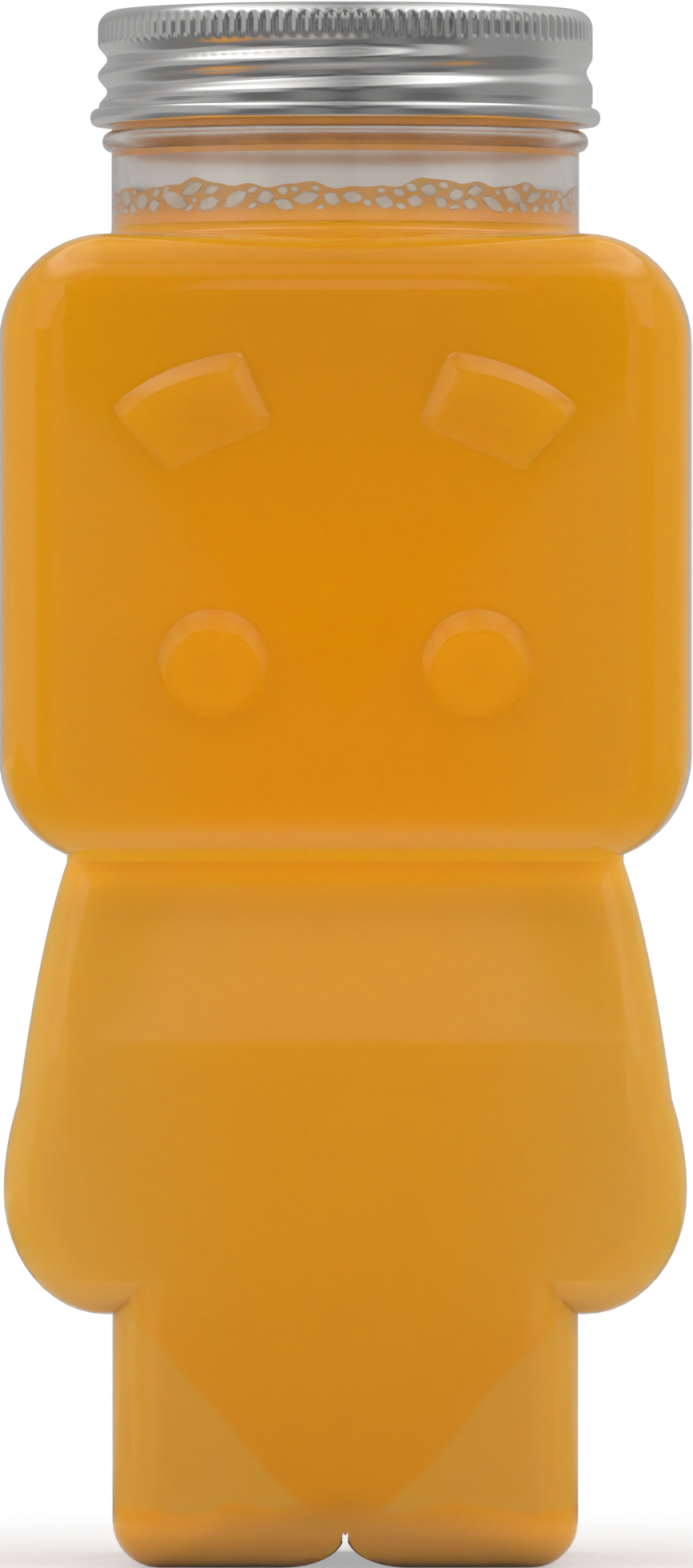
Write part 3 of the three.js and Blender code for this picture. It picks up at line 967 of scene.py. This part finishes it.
creases = (
    (shell, 38), (juice, 38), (film, 50), (film_bubbles, 80), (neck_light, 40), (cap, 45), (liner, 40),
)
for piece, crease in creases:
    shade(piece, crease)
print("creases above, degrees:", [(piece.name, crease) for piece, crease in creases])

# %% [markdown]
# ## Shader maths in Python
# A material is a small graph. The class Wire wraps a socket and turns Python's operators into Math nodes, so
# that a pattern reads like a formula. Every other node comes from Finish.make: its type, its settings, and
# then the values or links of its sockets.

# %% Wire
class Wire:
    """A node's output that can be used in arithmetic."""

    def __init__(self, finish, socket):
        self.finish = finish
        self.socket = socket

    def maths(self, operation, *values):
        return self.finish.make("ShaderNodeMath", {"operation": operation}, dict(enumerate(values)))

    def __add__(self, other):
        return self.maths("ADD", self, other)

    def __radd__(self, other):
        return self.maths("ADD", other, self)

    def __sub__(self, other):
        return self.maths("SUBTRACT", self, other)

    def __rsub__(self, other):
        return self.maths("SUBTRACT", other, self)

    def __mul__(self, other):
        return self.maths("MULTIPLY", self, other)

    def __rmul__(self, other):
        return self.maths("MULTIPLY", other, self)


# %% Finish
class Finish:
    """A material and the nodes that make it."""

    def __init__(self, name):
        self.material = bpy.data.materials.new(name)
        self.material.use_nodes = True
        self.tree = self.material.node_tree
        self.shader = self.tree.nodes["Principled BSDF"]

    def make(self, kind, settings=None, sockets=None, output=0):
        """Adds a node, sets its settings and then its sockets, and returns one output."""
        node = self.tree.nodes.new(kind)
        for name, value in (settings or {}).items():
            setattr(node, name, value)
        for name, value in (sockets or {}).items():
            self.join(node.inputs[name], value)
        return Wire(self, node.outputs[output])

    def join(self, socket, value):
        """Links a Wire to a socket, or sets a plain value on it."""
        if isinstance(value, Wire):
            self.tree.links.new(value.socket, socket)
        else:
            socket.default_value = value

    def place(self):
        """The point on the piece, in metres, as a vector."""
        return self.make("ShaderNodeTexCoord", output="Object")

    def axes(self, vector):
        """The three parts of a vector as numbers."""
        return [self.make("ShaderNodeSeparateXYZ", None, {0: vector}, axis) for axis in "XYZ"]

    def rays(self):
        """Three numbers that are 1 for a camera, a glossy or a transmission ray."""
        kinds = ("Camera", "Glossy", "Transmission")
        return [self.make("ShaderNodeLightPath", output=f"Is {kind} Ray") for kind in kinds]

    def noise(self, vector, scale, detail=2.0):
        """Smooth random numbers from 0 to 1."""
        sockets = {"Vector": vector, "Scale": scale, "Detail": detail, "Roughness": 0.5}
        return self.make("ShaderNodeTexNoise", None, sockets, "Fac")

    def between(self, value, low, high, start=0.0, stop=1.0):
        """Maps a number smoothly from one range to another, and holds its ends."""
        settings = {"interpolation_type": "SMOOTHSTEP"}
        sockets = {"Value": value, "From Min": low, "From Max": high, "To Min": start, "To Max": stop}
        return self.make("ShaderNodeMapRange", settings, sockets)

    def band(self, value, start, full, fade, end):
        """1 from full to fade, falling smoothly to 0 at start and end."""
        return self.between(value, start, full) * self.between(value, end, fade)

    def mix(self, share, first, second):
        """Mixes two colours."""
        return self.make("ShaderNodeMix", {"data_type": "RGBA"}, {0: share, 6: first, 7: second}, 2)

    def bump(self, height, distance, strength=1.0):
        """A bump from a height from 0 to 1 and its real depth in metres."""
        sockets = {"Strength": strength, "Distance": distance, "Height": height}
        return self.make("ShaderNodeBump", None, sockets, "Normal")

    def dress(self, piece, sockets):
        """Sets the shader's sockets and gives the material to a piece."""
        for name, value in sockets.items():
            self.join(self.shader.inputs[name], value)
        piece.data.materials.clear()
        piece.data.materials.append(self.material)


# %% [markdown]
# ## Clear plastic
# Blown plastic is clear and glossy, with faint waves where it cooled against the mould. Most of its gloss
# comes from a coat with the plastic's own index. The index of the body is set lower, because the juice wets
# the wall: with a full index the light that is caught between the two would darken the juice's colour.
# Above the juice the wall is tinted grey, a painted shade for the shadowed inside of the neck under the
# cap, and it is rougher, which blurs what is behind it.

# %% Clear shell finish
CLEAR = (1.0, 1.0, 1.0, 1.0)
HEADSPACE_SHADE = (0.70, 0.68, 0.65, 1.0)
HEADSPACE_START = 1.5 * MM
CLEAR_BLUR = 0.03
HEADSPACE_BLUR = 0.2
WAVE_SCALE = 55.0
WAVE_DETAIL = 1.0
WAVE_DEPTH = 0.15 * MM
plastic = Finish("clear_plastic")
where = plastic.place()
z = plastic.axes(where)[2]
waves = plastic.noise(where, WAVE_SCALE, WAVE_DETAIL)
above_juice = plastic.between(z, juice_high.z, juice_high.z + HEADSPACE_START)
plastic.dress(shell, {
    # Painted shade: the neck above the juice is tinted grey.
    "Base Color": plastic.mix(above_juice, CLEAR, HEADSPACE_SHADE),
    "Roughness": CLEAR_BLUR + above_juice * HEADSPACE_BLUR,
    "IOR": 1.15,
    "Transmission Weight": 1.0,
    "Coat Weight": 1.0,
    "Coat IOR": 1.57,
    "Coat Roughness": 0.035,
    "Normal": plastic.bump(waves, WAVE_DEPTH),
})
print("clear plastic nodes", len(plastic.tree.nodes))

# %% [markdown]
# ## Orange juice
# The colour of cloudy juice isn't even. It is deepest in the middle of the face. The other zones are painted
# light and shade: a painted shade darkens the top of the face, painted light makes its sides yellower and the
# chest paler towards the head, where it lifts the shade under the head, a painted sheen makes the arms paler,
# and a painted shade darkens the body towards the floor. One could paint a texture, but smooth steps along X
# and Z that each mix in one orange keep every zone in plain sizes. Slow noise gives clouds, and fine noise
# gives pulp.

# %% Head and chest colours
DEEP_ORANGE = (0.85, 0.34, 0.0005, 1.0)
PULP_ORANGE = (0.87, 0.36, 0.002, 1.0)
# Of the oranges below, those for the top of the face, its sides, the chest, the arms and the lower body are
# painted shade and light.
TOP_SHADE_ORANGE = (0.75, 0.318, 0.008, 1.0)
SIDE_LIGHT_ORANGE = (0.78, 0.36, 0.002, 1.0)
CHEST_LIGHT_ORANGE = (0.86, 0.42, 0.014, 1.0)
BODY_ORANGE = (0.81, 0.372, 0.018, 1.0)
ARM_SHEEN_ORANGE = (0.765, 0.415, 0.05, 1.0)
LOW_SHADE_ORANGE = (0.79, 0.345, 0.019, 1.0)
CLOUD_SCALE = 28.0
CLOUD_DETAIL = 3.0
CLOUD_RANGE = (0.35, 0.7)
CLOUD_SHARE = 0.6
PULP_SCALE = 900.0
PULP_RANGE = (0.55, 0.8)
PULP_SHARE = 0.2
SIDE_X = (6 * MM, 38 * MM)
HIGH_Z = (100 * MM, 135 * MM)
CHEST_Z = (52 * MM, 72 * MM)
LOW_SHADE_Z = (45 * MM, 0.0)
ARM_Z = (20 * MM, 32 * MM)
cloudy = Finish("cloudy_juice")
where = cloudy.place()
x, _, z = cloudy.axes(where)
wide = x.maths("ABSOLUTE", x)
aside = cloudy.between(wide, *SIDE_X)
clouds = cloudy.between(cloudy.noise(where, CLOUD_SCALE, CLOUD_DETAIL), *CLOUD_RANGE)
pulp = cloudy.between(cloudy.noise(where, PULP_SCALE), *PULP_RANGE)
face = cloudy.mix(clouds * CLOUD_SHARE + pulp * PULP_SHARE, DEEP_ORANGE, PULP_ORANGE)
# Painted shade: the top of the face is darker.
face = cloudy.mix(cloudy.between(z, *HIGH_Z), face, TOP_SHADE_ORANGE)
# Painted light: the sides of the face are yellower.
face = cloudy.mix(aside, face, SIDE_LIGHT_ORANGE)
# Painted light: the chest gets paler towards the head, which lifts the shade under the head.
body = cloudy.mix(cloudy.between(z, *CHEST_Z), BODY_ORANGE, CHEST_LIGHT_ORANGE)
# Painted shade: the body gets darker towards the floor.
body = cloudy.mix(cloudy.between(z, *LOW_SHADE_Z), body, LOW_SHADE_ORANGE)
# Painted sheen: the arms are paler.
body = cloudy.mix(aside * cloudy.between(z, *ARM_Z), body, ARM_SHEEN_ORANGE)
print("juice nodes for head and chest", len(cloudy.tree.nodes))

# %% [markdown]
# ## Painted light and shade in the legs
# In the legs the juice is painted pale outside a V that narrows towards the notch, a V of light. It is painted
# more orange just above the soles, as light from the floor, and dull over the notch, as shade between the
# feet. The V is a slanted step in X and Z. Noise that is added to the distance makes its borders ragged.

# %% Leg colours
V_LIGHT_ORANGE = (0.765, 0.395, 0.048, 1.0)
SOLE_LIGHT_ORANGE = (0.85, 0.37, 0.006, 1.0)
NOTCH_SHADE_ORANGE = (0.55, 0.245, 0.016, 1.0)
RAGGED_SCALE = 130.0
RAGGED_SIZE = 3 * MM
LEG_EDGE = (8.7 * MM, 11.2 * MM)
LEG_SLOPE = 0.9
LEG_SOFT = (1 * MM, 2 * MM)
LEG_TOP = (34 * MM, 26 * MM)
SOLE_Z = (8.4 * MM, 7.4 * MM)
NOTCH_SHADE_REACH = (11 * MM, 6 * MM)
NOTCH_SHADE_FLAT = 0.2
SOLE_AND_NOTCH_SHARE = 0.85
# Painted light: the legs are paler outside a V that narrows towards the notch.
ragged = cloudy.noise(where, RAGGED_SCALE) * RAGGED_SIZE
outside = wide + ragged - (z - LEG_EDGE[1]) * LEG_SLOPE - LEG_EDGE[0]
v_light = cloudy.between(outside, *LEG_SOFT) * cloudy.between(z, *LEG_TOP)
body = cloudy.mix(v_light, body, V_LIGHT_ORANGE)
# Painted light from the floor: the juice is more orange just above the soles.
sole_light = cloudy.between(z + ragged, *SOLE_Z) * SOLE_AND_NOTCH_SHARE
body = cloudy.mix(sole_light, body, SOLE_LIGHT_ORANGE)
# Painted shade: the juice is dull over the notch between the feet.
notch_shade = cloudy.between(wide * NOTCH_SHADE_FLAT + z + ragged, *NOTCH_SHADE_REACH) * SOLE_AND_NOTCH_SHARE
body = cloudy.mix(notch_shade, body, NOTCH_SHADE_ORANGE)
print("juice nodes with the legs", len(cloudy.tree.nodes))

# %% [markdown]
# ## Light in the drink
# Juice scatters light inside itself, so its shadows are soft: that is the shader's subsurface part, in which
# red light travels furthest. The folds under the head and at the foot of the neck still glow on the real
# bottle, because light reaches them through the drink. A faint emission there stands in for that light.

# %% Juice finish
GLOW_ORANGE = (0.66, 0.34, 0.02, 1.0)
DARK = (0.0, 0.0, 0.0, 1.0)
FOLD_REACH = 6 * MM
FOLD_LIP = 2 * MM
FOLD_X = (33 * MM, 28 * MM)
FOLD_GLOW = 0.3
NECK_SHARE = 1.1
CHIN_REACH = (7 * MM, 1 * MM)
CHIN_SHARE = 0.3
SCATTER_DEPTH = 6 * MM
below = cloudy.between(z, head_z + FOLD_REACH, head_z - FOLD_REACH)
inside = cloudy.between(wide, *FOLD_X)
under_head = cloudy.band(z, head_z - FOLD_REACH, head_z, head_z, head_z + FOLD_LIP)
above = z - head_top
at_neck = cloudy.between(above.maths("ABSOLUTE", above), FOLD_REACH / 2, 0.0)
chin = cloudy.between(z, head_z + CHIN_REACH[0], head_z + CHIN_REACH[1]) - below
fold = under_head * inside + at_neck * NECK_SHARE + chin.maths("MAXIMUM", chin, 0.0) * CHIN_SHARE
cloudy.dress(juice, {
    "Base Color": cloudy.mix(below, face, body),
    "Roughness": 0.3,
    "Specular IOR Level": 0.0,
    "Subsurface Weight": 0.6,
    "Subsurface Radius": (1.0, 0.45, 0.1),
    "Subsurface Scale": SCATTER_DEPTH,
    "Emission Color": cloudy.mix(fold, DARK, GLOW_ORANGE),
    "Emission Strength": FOLD_GLOW,
})
print("juice nodes", len(cloudy.tree.nodes))

# %% [markdown]
# ## Film, neck light and bubbles
# The film in the neck is juice that gets thinner and paler upwards. The ring above it is painted light: the
# orange that the neck's wall carries up from the juice. It is partly clear, and clearest behind the neck's
# bead, a painted highlight there. Light comes through it from behind, and an emission stands in for that.
# The bubbles have pale wet skins with streaks. Noise breaks up all three.

# %% Film finish
FILM_DEEP = (0.84, 0.36, 0.012, 1.0)
FILM_PALE = (0.72, 0.40, 0.13, 1.0)
FILM_SHARES = (0.7, 0.3)
GRAIN_SCALE = 700.0
GRAIN_DEPTH = 0.1 * MM
froth_finish = Finish("froth_film")
where = froth_finish.place()
grain = froth_finish.noise(where, GRAIN_SCALE)
paler = froth_finish.between(froth_finish.axes(where)[2], film_low, film_high)
froth_finish.dress(film, {
    "Base Color": froth_finish.mix(paler * FILM_SHARES[0] + grain * FILM_SHARES[1], FILM_DEEP, FILM_PALE),
    "Roughness": 0.25,
    "Normal": froth_finish.bump(grain, GRAIN_DEPTH),
})
print("film nodes", len(froth_finish.tree.nodes))

# %% Neck light finish
NECK_LIGHT_COLOURS = ((0.46, 0.19, 0.03, 1.0), (0.56, 0.26, 0.06, 1.0))
NECK_LIGHT_GLOWS = ((0.30, 0.125, 0.018, 1.0), (0.25, 0.11, 0.022, 1.0))
NECK_LIGHT_SCALE = 260.0
NECK_LIGHT_DETAIL = 3.0
NECK_LIGHT_COVER = (0.3, 0.75, 0.8, 0.6)
BEAD_HIGHLIGHT_RISE = 0.3 * MM
BEAD_HIGHLIGHT_REACH = (1.1 * MM, 0.3 * MM)
BEAD_HIGHLIGHT_SHARE = 0.75
neck_light_finish = Finish("painted_neck_light_finish")
where = neck_light_finish.place()
# Painted light: the orange of the neck ring, uneven and partly see-through.
light_noise = neck_light_finish.noise(where, NECK_LIGHT_SCALE, NECK_LIGHT_DETAIL)
# Painted highlight: the ring is most see-through just above the bead.
above = neck_light_finish.axes(where)[2] - bead_z - BEAD_HIGHLIGHT_RISE
thin = neck_light_finish.between(above.maths("ABSOLUTE", above), *BEAD_HIGHLIGHT_REACH) * BEAD_HIGHLIGHT_SHARE
neck_light_finish.dress(neck_light, {
    "Base Color": neck_light_finish.mix(light_noise, *NECK_LIGHT_COLOURS),
    "Roughness": 0.4,
    "Alpha": neck_light_finish.between(light_noise, *NECK_LIGHT_COVER) - thin,
    "Emission Color": neck_light_finish.mix(light_noise, *NECK_LIGHT_GLOWS),
    "Emission Strength": 1.0,
})
print("stain nodes", len(neck_light_finish.tree.nodes))

# %% Bubble finish
BUBBLE_COLOURS = ((0.52, 0.45, 0.37, 1.0), (0.82, 0.77, 0.70, 1.0))
STREAK_SCALE = 500.0
bubble_finish = Finish("bubble_skin")
streaks = bubble_finish.noise(bubble_finish.place(), STREAK_SCALE)
bubble_finish.dress(film_bubbles, {
    "Base Color": bubble_finish.mix(streaks, *BUBBLE_COLOURS),
    "Roughness": 0.15,
    "Coat Weight": 0.5,
})
print("bubble nodes", len(bubble_finish.tree.nodes))

# %% [markdown]
# ## Drawn aluminium and foam
# The cap is satin: rolling leaves fine lines that run round it, which stretch its highlights sideways. The
# lines are noise that is squeezed along Z, used as a faint bump and as a change of roughness. The liner's
# foam is matte, and its small cells are noise too.

# %% Cap finish
METAL_COLOURS = ((0.74, 0.73, 0.72, 1.0), (0.84, 0.83, 0.82, 1.0))
METAL_BLUR = (0.3, 0.7, 0.2, 0.25)
LINE_SQUEEZE = (60.0, 60.0, 4000.0)
LINE_DETAIL = 3.0
LINE_DEPTH = 0.002 * MM
LINE_STRENGTH = 0.3
METAL_SMUDGE_SCALE = 120.0
metal = Finish("satin_aluminium")
where = metal.place()
squeezed = metal.make("ShaderNodeMapping", None, {"Vector": where, "Scale": LINE_SQUEEZE}, "Vector")
lines = metal.noise(squeezed, 1.0, LINE_DETAIL)
metal.dress(cap, {
    "Base Color": metal.mix(metal.noise(where, METAL_SMUDGE_SCALE), *METAL_COLOURS),
    "Metallic": 1.0,
    "Roughness": metal.between(lines, *METAL_BLUR),
    "Normal": metal.bump(lines, LINE_DEPTH, LINE_STRENGTH),
})
print("metal nodes", len(metal.tree.nodes))

# %% Liner finish
FOAM_COLOURS = ((0.80, 0.79, 0.75, 1.0), (0.88, 0.87, 0.84, 1.0))
CELL_SCALE = 2500.0
CELL_DEPTH = 0.1 * MM
foam = Finish("liner_foam")
cells = foam.noise(foam.place(), CELL_SCALE)
foam.dress(liner, {
    "Base Color": foam.mix(cells, *FOAM_COLOURS),
    "Roughness": 0.75,
    "Normal": foam.bump(cells, CELL_DEPTH),
})
print("foam nodes", len(foam.tree.nodes))

# %% [markdown]
# ## Bodies
# Each piece rides on the body that carries it on the real bottle and takes the place of its CAD node: the
# shell, the juice and the froth stay, and the cap and its liner rise together while only the cap turns.

# %% Ride and replace
for piece, node, body, slot in (
    (shell, "bottle_shell", "bottle", "clear_shell"),
    (juice, "juice_fill", "bottle", "orange_juice"),
    (film, "juice_froth", "bottle", "juice_bubbles"),
    (liner, "cap_liner", "liner", "liner_foam"),
    (cap, "cap_shell", "cap", "cap_metal"),
):
    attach(piece, body)
    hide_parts(node)
for piece in (film_bubbles, neck_light):
    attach(piece, "bottle")

# %% [markdown]
# ## Floor
# The bottle stands on a white sheet. Close to the bottle the sheet takes real light, so it keeps the bottle's
# shadow. Further out it fades to plain white. Light Path nodes tell camera, glossy and transmission rays
# apart: what shows through the plastic is white as well, but mirror rays meet the sheet dimmed, because a
# full white would wash out the juice's colour.

# %% Floor
SHEET_SIDE = 1.5
SHEET_FRONT = -0.17
SHEET_COLOUR = (0.85, 0.85, 0.85, 1.0)
FLOOR_NEAR = 0.02
FLOOR_FAR = 0.15
SHADOW_LIFT = 0.4
WHITE = 1.0
MIRROR_DEEP = (0.05, 0.3)
MIRROR_GLOW = (0.2, 0.5)
scene = bpy.context.scene
bm = bmesh.new()
bmesh.ops.create_grid(bm, x_segments=2, y_segments=2, size=SHEET_SIDE)
bmesh.ops.translate(bm, verts=bm.verts[:], vec=(0, SHEET_FRONT + SHEET_SIDE, 0))
floor = as_object(bm, "floor")
paper = Finish("white_floor")
where = paper.place()
away = paper.make("ShaderNodeVectorMath", {"operation": "LENGTH"}, {0: where}, "Value")
seen, glossy, through = paper.rays()
mirror = glossy * (1 - through)
mirrored = paper.between(paper.axes(where)[1], *MIRROR_DEEP, *MIRROR_GLOW)
white = WHITE + mirror * (mirrored - WHITE)
glow = paper.make("ShaderNodeEmission", None, {"Color": CLEAR, "Strength": white})
paper.dress(floor, {"Base Color": SHEET_COLOUR, "Roughness": 0.9})
bright = seen.maths("MAXIMUM", seen, glossy.maths("MAXIMUM", glossy, through))
far = paper.between(away, FLOOR_NEAR, FLOOR_FAR, SHADOW_LIFT * seen, 1.0) * bright
lit = Wire(paper, paper.shader.outputs[0])
both = paper.make("ShaderNodeMixShader", None, {0: far, 1: lit, 2: glow})
paper.join(paper.tree.nodes["Material Output"].inputs["Surface"], both)
print("floor nodes", len(paper.tree.nodes))

# %% [markdown]
# ## The room in the mirror
# A glossy bottle shows the studio around it. Lamps and cards could stand there, but they would also change
# the light on the juice. So the world lights everything evenly, is white for the camera, and shows a drawn
# studio to mirror rays alone. In front of the bottle that studio is dark, with dim panels on both sides of a
# V gap, which leaves the middle of the face clear. Lighter walls stand at the sides. A small card above the
# camera shows only in the chest, which leans back.

# %% Panels, sides and chest light
ROOM_DARK = 0.03
PANEL_IN = (0.05, 0.16)
PANEL_OUT = (0.5, 0.3)
PANEL_GLOW = (0.1, 0.25)
PANEL_REST = 0.5
GAP_WIDE = 0.066
GAP_SLANT = 0.74
GAP_SOFT = (-0.012, 0.012)
SIDE_GLOW = 0.255
SIDE_LIMITS = (0.72, 0.86)
SIDE_BIAS = 0.08
CHEST_GLOW = 0.42
CHEST_WIDE = 0.123
CHEST_SLANT = 0.133
CHEST_RISE = (0.23, 0.27, 0.42, 0.5)


class Sky(Finish):
    """The world's nodes, made in the same way as a material's."""

    def __init__(self, world):
        self.tree = world.node_tree
        self.shader = self.tree.nodes["Background"]


world = bpy.data.worlds.new("studio")
world.use_nodes = True
scene.world = world
sky = Sky(world)
x, y, z = sky.axes(sky.make("ShaderNodeTexCoord", output="Generated"))
aside = x.maths("ABSOLUTE", x)
panel_glow = sky.between(aside, *PANEL_IN, *PANEL_GLOW)
beside_gap = sky.between(aside - (GAP_SLANT * z + GAP_WIDE), *GAP_SOFT)
panels = beside_gap * (panel_glow - ROOM_DARK) + ROOM_DARK
panels = panels * sky.between(aside, *PANEL_OUT, PANEL_REST, 1.0)
sides = sky.between(aside, *SIDE_LIMITS) * (SIDE_GLOW - SIDE_BIAS * x)
chest = sky.between(CHEST_WIDE - CHEST_SLANT * z - aside, *GAP_SOFT)
chest = chest * sky.band(z, *CHEST_RISE) * CHEST_GLOW
print("world nodes in front", len(sky.tree.nodes))

# %% [markdown]
# ## Lamps in the mirror
# Two bright lamps above, left and right, draw the streaks on the cap. They fade towards the middle, where the
# cap is darker. A soft strip that starts below them lights the upper flanks of the eyes and the brows, and
# two wings light the flanks that also face sideways. What is overhead and what is behind is nearly even.

# %% Lamps, back wall and world
STRIP_GLOW = 0.32
STRIP_Z = (0.48, 0.62, 0.8, 0.92)
LAMP_GLOW = 1.4
LAMP_SPREAD = 2.0
LAMP_LOW = (0.66, 0.8)
LAMP_OUT = (0.9, 0.6)
WING_GLOW = 0.6
WING_X = (0.38, 0.52, 0.75, 0.85)
WING_Z = (0.16, 0.24, 0.62, 0.76)
ZENITH_GLOW = 0.34
ZENITH_LOW = (0.88, 0.97)
BEHIND_GLOW = 0.43
BEHIND_START = (0.1, 0.6)
BEHIND_TOP = (0.75, 0.55)
BEHIND_RISE = (0.15, 0.45)
RISE_GLOW = 0.06
RISE_BIAS = 0.16
LIGHT_LEVEL = 1.0
LIGHT_TILT = 0.14
strip = sky.band(z, *STRIP_Z) * STRIP_GLOW
spread = aside * LAMP_SPREAD
lamps = spread.maths("MINIMUM", spread, 1.0) * sky.between(z, *LAMP_LOW) * sky.between(aside, *LAMP_OUT)
wings = sky.band(aside, *WING_X) * sky.band(z, *WING_Z) * WING_GLOW
zenith = sky.between(z, *ZENITH_LOW) * ZENITH_GLOW
top = zenith.maths("MAXIMUM", zenith, strip)
top = top.maths("MAXIMUM", top + lamps * LAMP_GLOW, wings)
front = panels.maths("MAXIMUM", panels + sides, top.maths("MAXIMUM", top, chest))
back = BEHIND_GLOW + SIDE_BIAS * x + sky.between(z, *BEHIND_RISE) * (RISE_GLOW + RISE_BIAS * x)
behind = sky.between(y, *BEHIND_START) * sky.between(z, *BEHIND_TOP)
reflected = front + (back - front) * behind
lighting = LIGHT_LEVEL - LIGHT_TILT * z
seen, glossy, through = sky.rays()
strength = lighting + (reflected - lighting) * glossy * (1 - through)
sky.join(sky.shader.inputs["Strength"], strength + (WHITE - strength) * seen)
sky.join(sky.shader.inputs["Color"], CLEAR)
print("world nodes", len(sky.tree.nodes))

# %% [markdown]
# ## Soft boxes
# Two large soft boxes stand at the left and the right and give the body its shape. They are hidden from the
# camera and from mirror rays, because the drawn studio already shows lamps.

# %% Soft boxes
BOX_ASIDE = 1.1
BOX_FRONT = -0.6
BOX_RISE = 0.5
BOX_SIZE = (1.0, 1.4)
BOX_POWER = 4


def soft_box(name, place, target):
    """A rectangular area light that faces a point and lights without being mirrored."""
    light = bpy.data.lights.new(name, "AREA")
    light.shape = "RECTANGLE"
    light.size, light.size_y = BOX_SIZE
    light.energy = BOX_POWER
    lamp = bpy.data.objects.new(name, light)
    lamp.location = place
    lamp.rotation_euler = (target - place).to_track_quat("-Z", "Y").to_euler()
    lamp.visible_camera = False
    lamp.visible_glossy = False
    scene.collection.objects.link(lamp)


middle = Vector((0, 0, cad_high.z / 2))
for name, side in (("left_box", -1), ("right_box", 1)):
    soft_box(name, Vector((side * BOX_ASIDE, BOX_FRONT, BOX_RISE)), middle)
print("soft boxes", [light.name for light in bpy.data.lights])

# %% [markdown]
# ## Camera
# The photograph looks level at the middle of the bottle from far away. The lens follows from the height that
# the picture shows at the bottle's axis, because the longer side of the picture takes the sensor's width.

# %% Camera
SENSOR = 36.0
VIEW_DISTANCE = 2.0
VIEW_HEIGHT = 170.0 * MM
CAMERA_Z = 84.1 * MM
CAMERA_X = 0.13 * MM
FAR_CLIP = 20
eye = bpy.data.cameras.new("photo_camera")
eye.sensor_width = SENSOR
eye.lens = SENSOR * VIEW_DISTANCE / VIEW_HEIGHT
eye.clip_end = FAR_CLIP
camera = bpy.data.objects.new("photo_camera", eye)
camera.location = (CAMERA_X, -VIEW_DISTANCE, CAMERA_Z)
camera.rotation_euler = (math.radians(90), 0, 0)
scene.collection.objects.link(camera)
scene.camera = camera
scene.view_settings.view_transform = "Standard"
print("lens, mm:", round(eye.lens, 1))
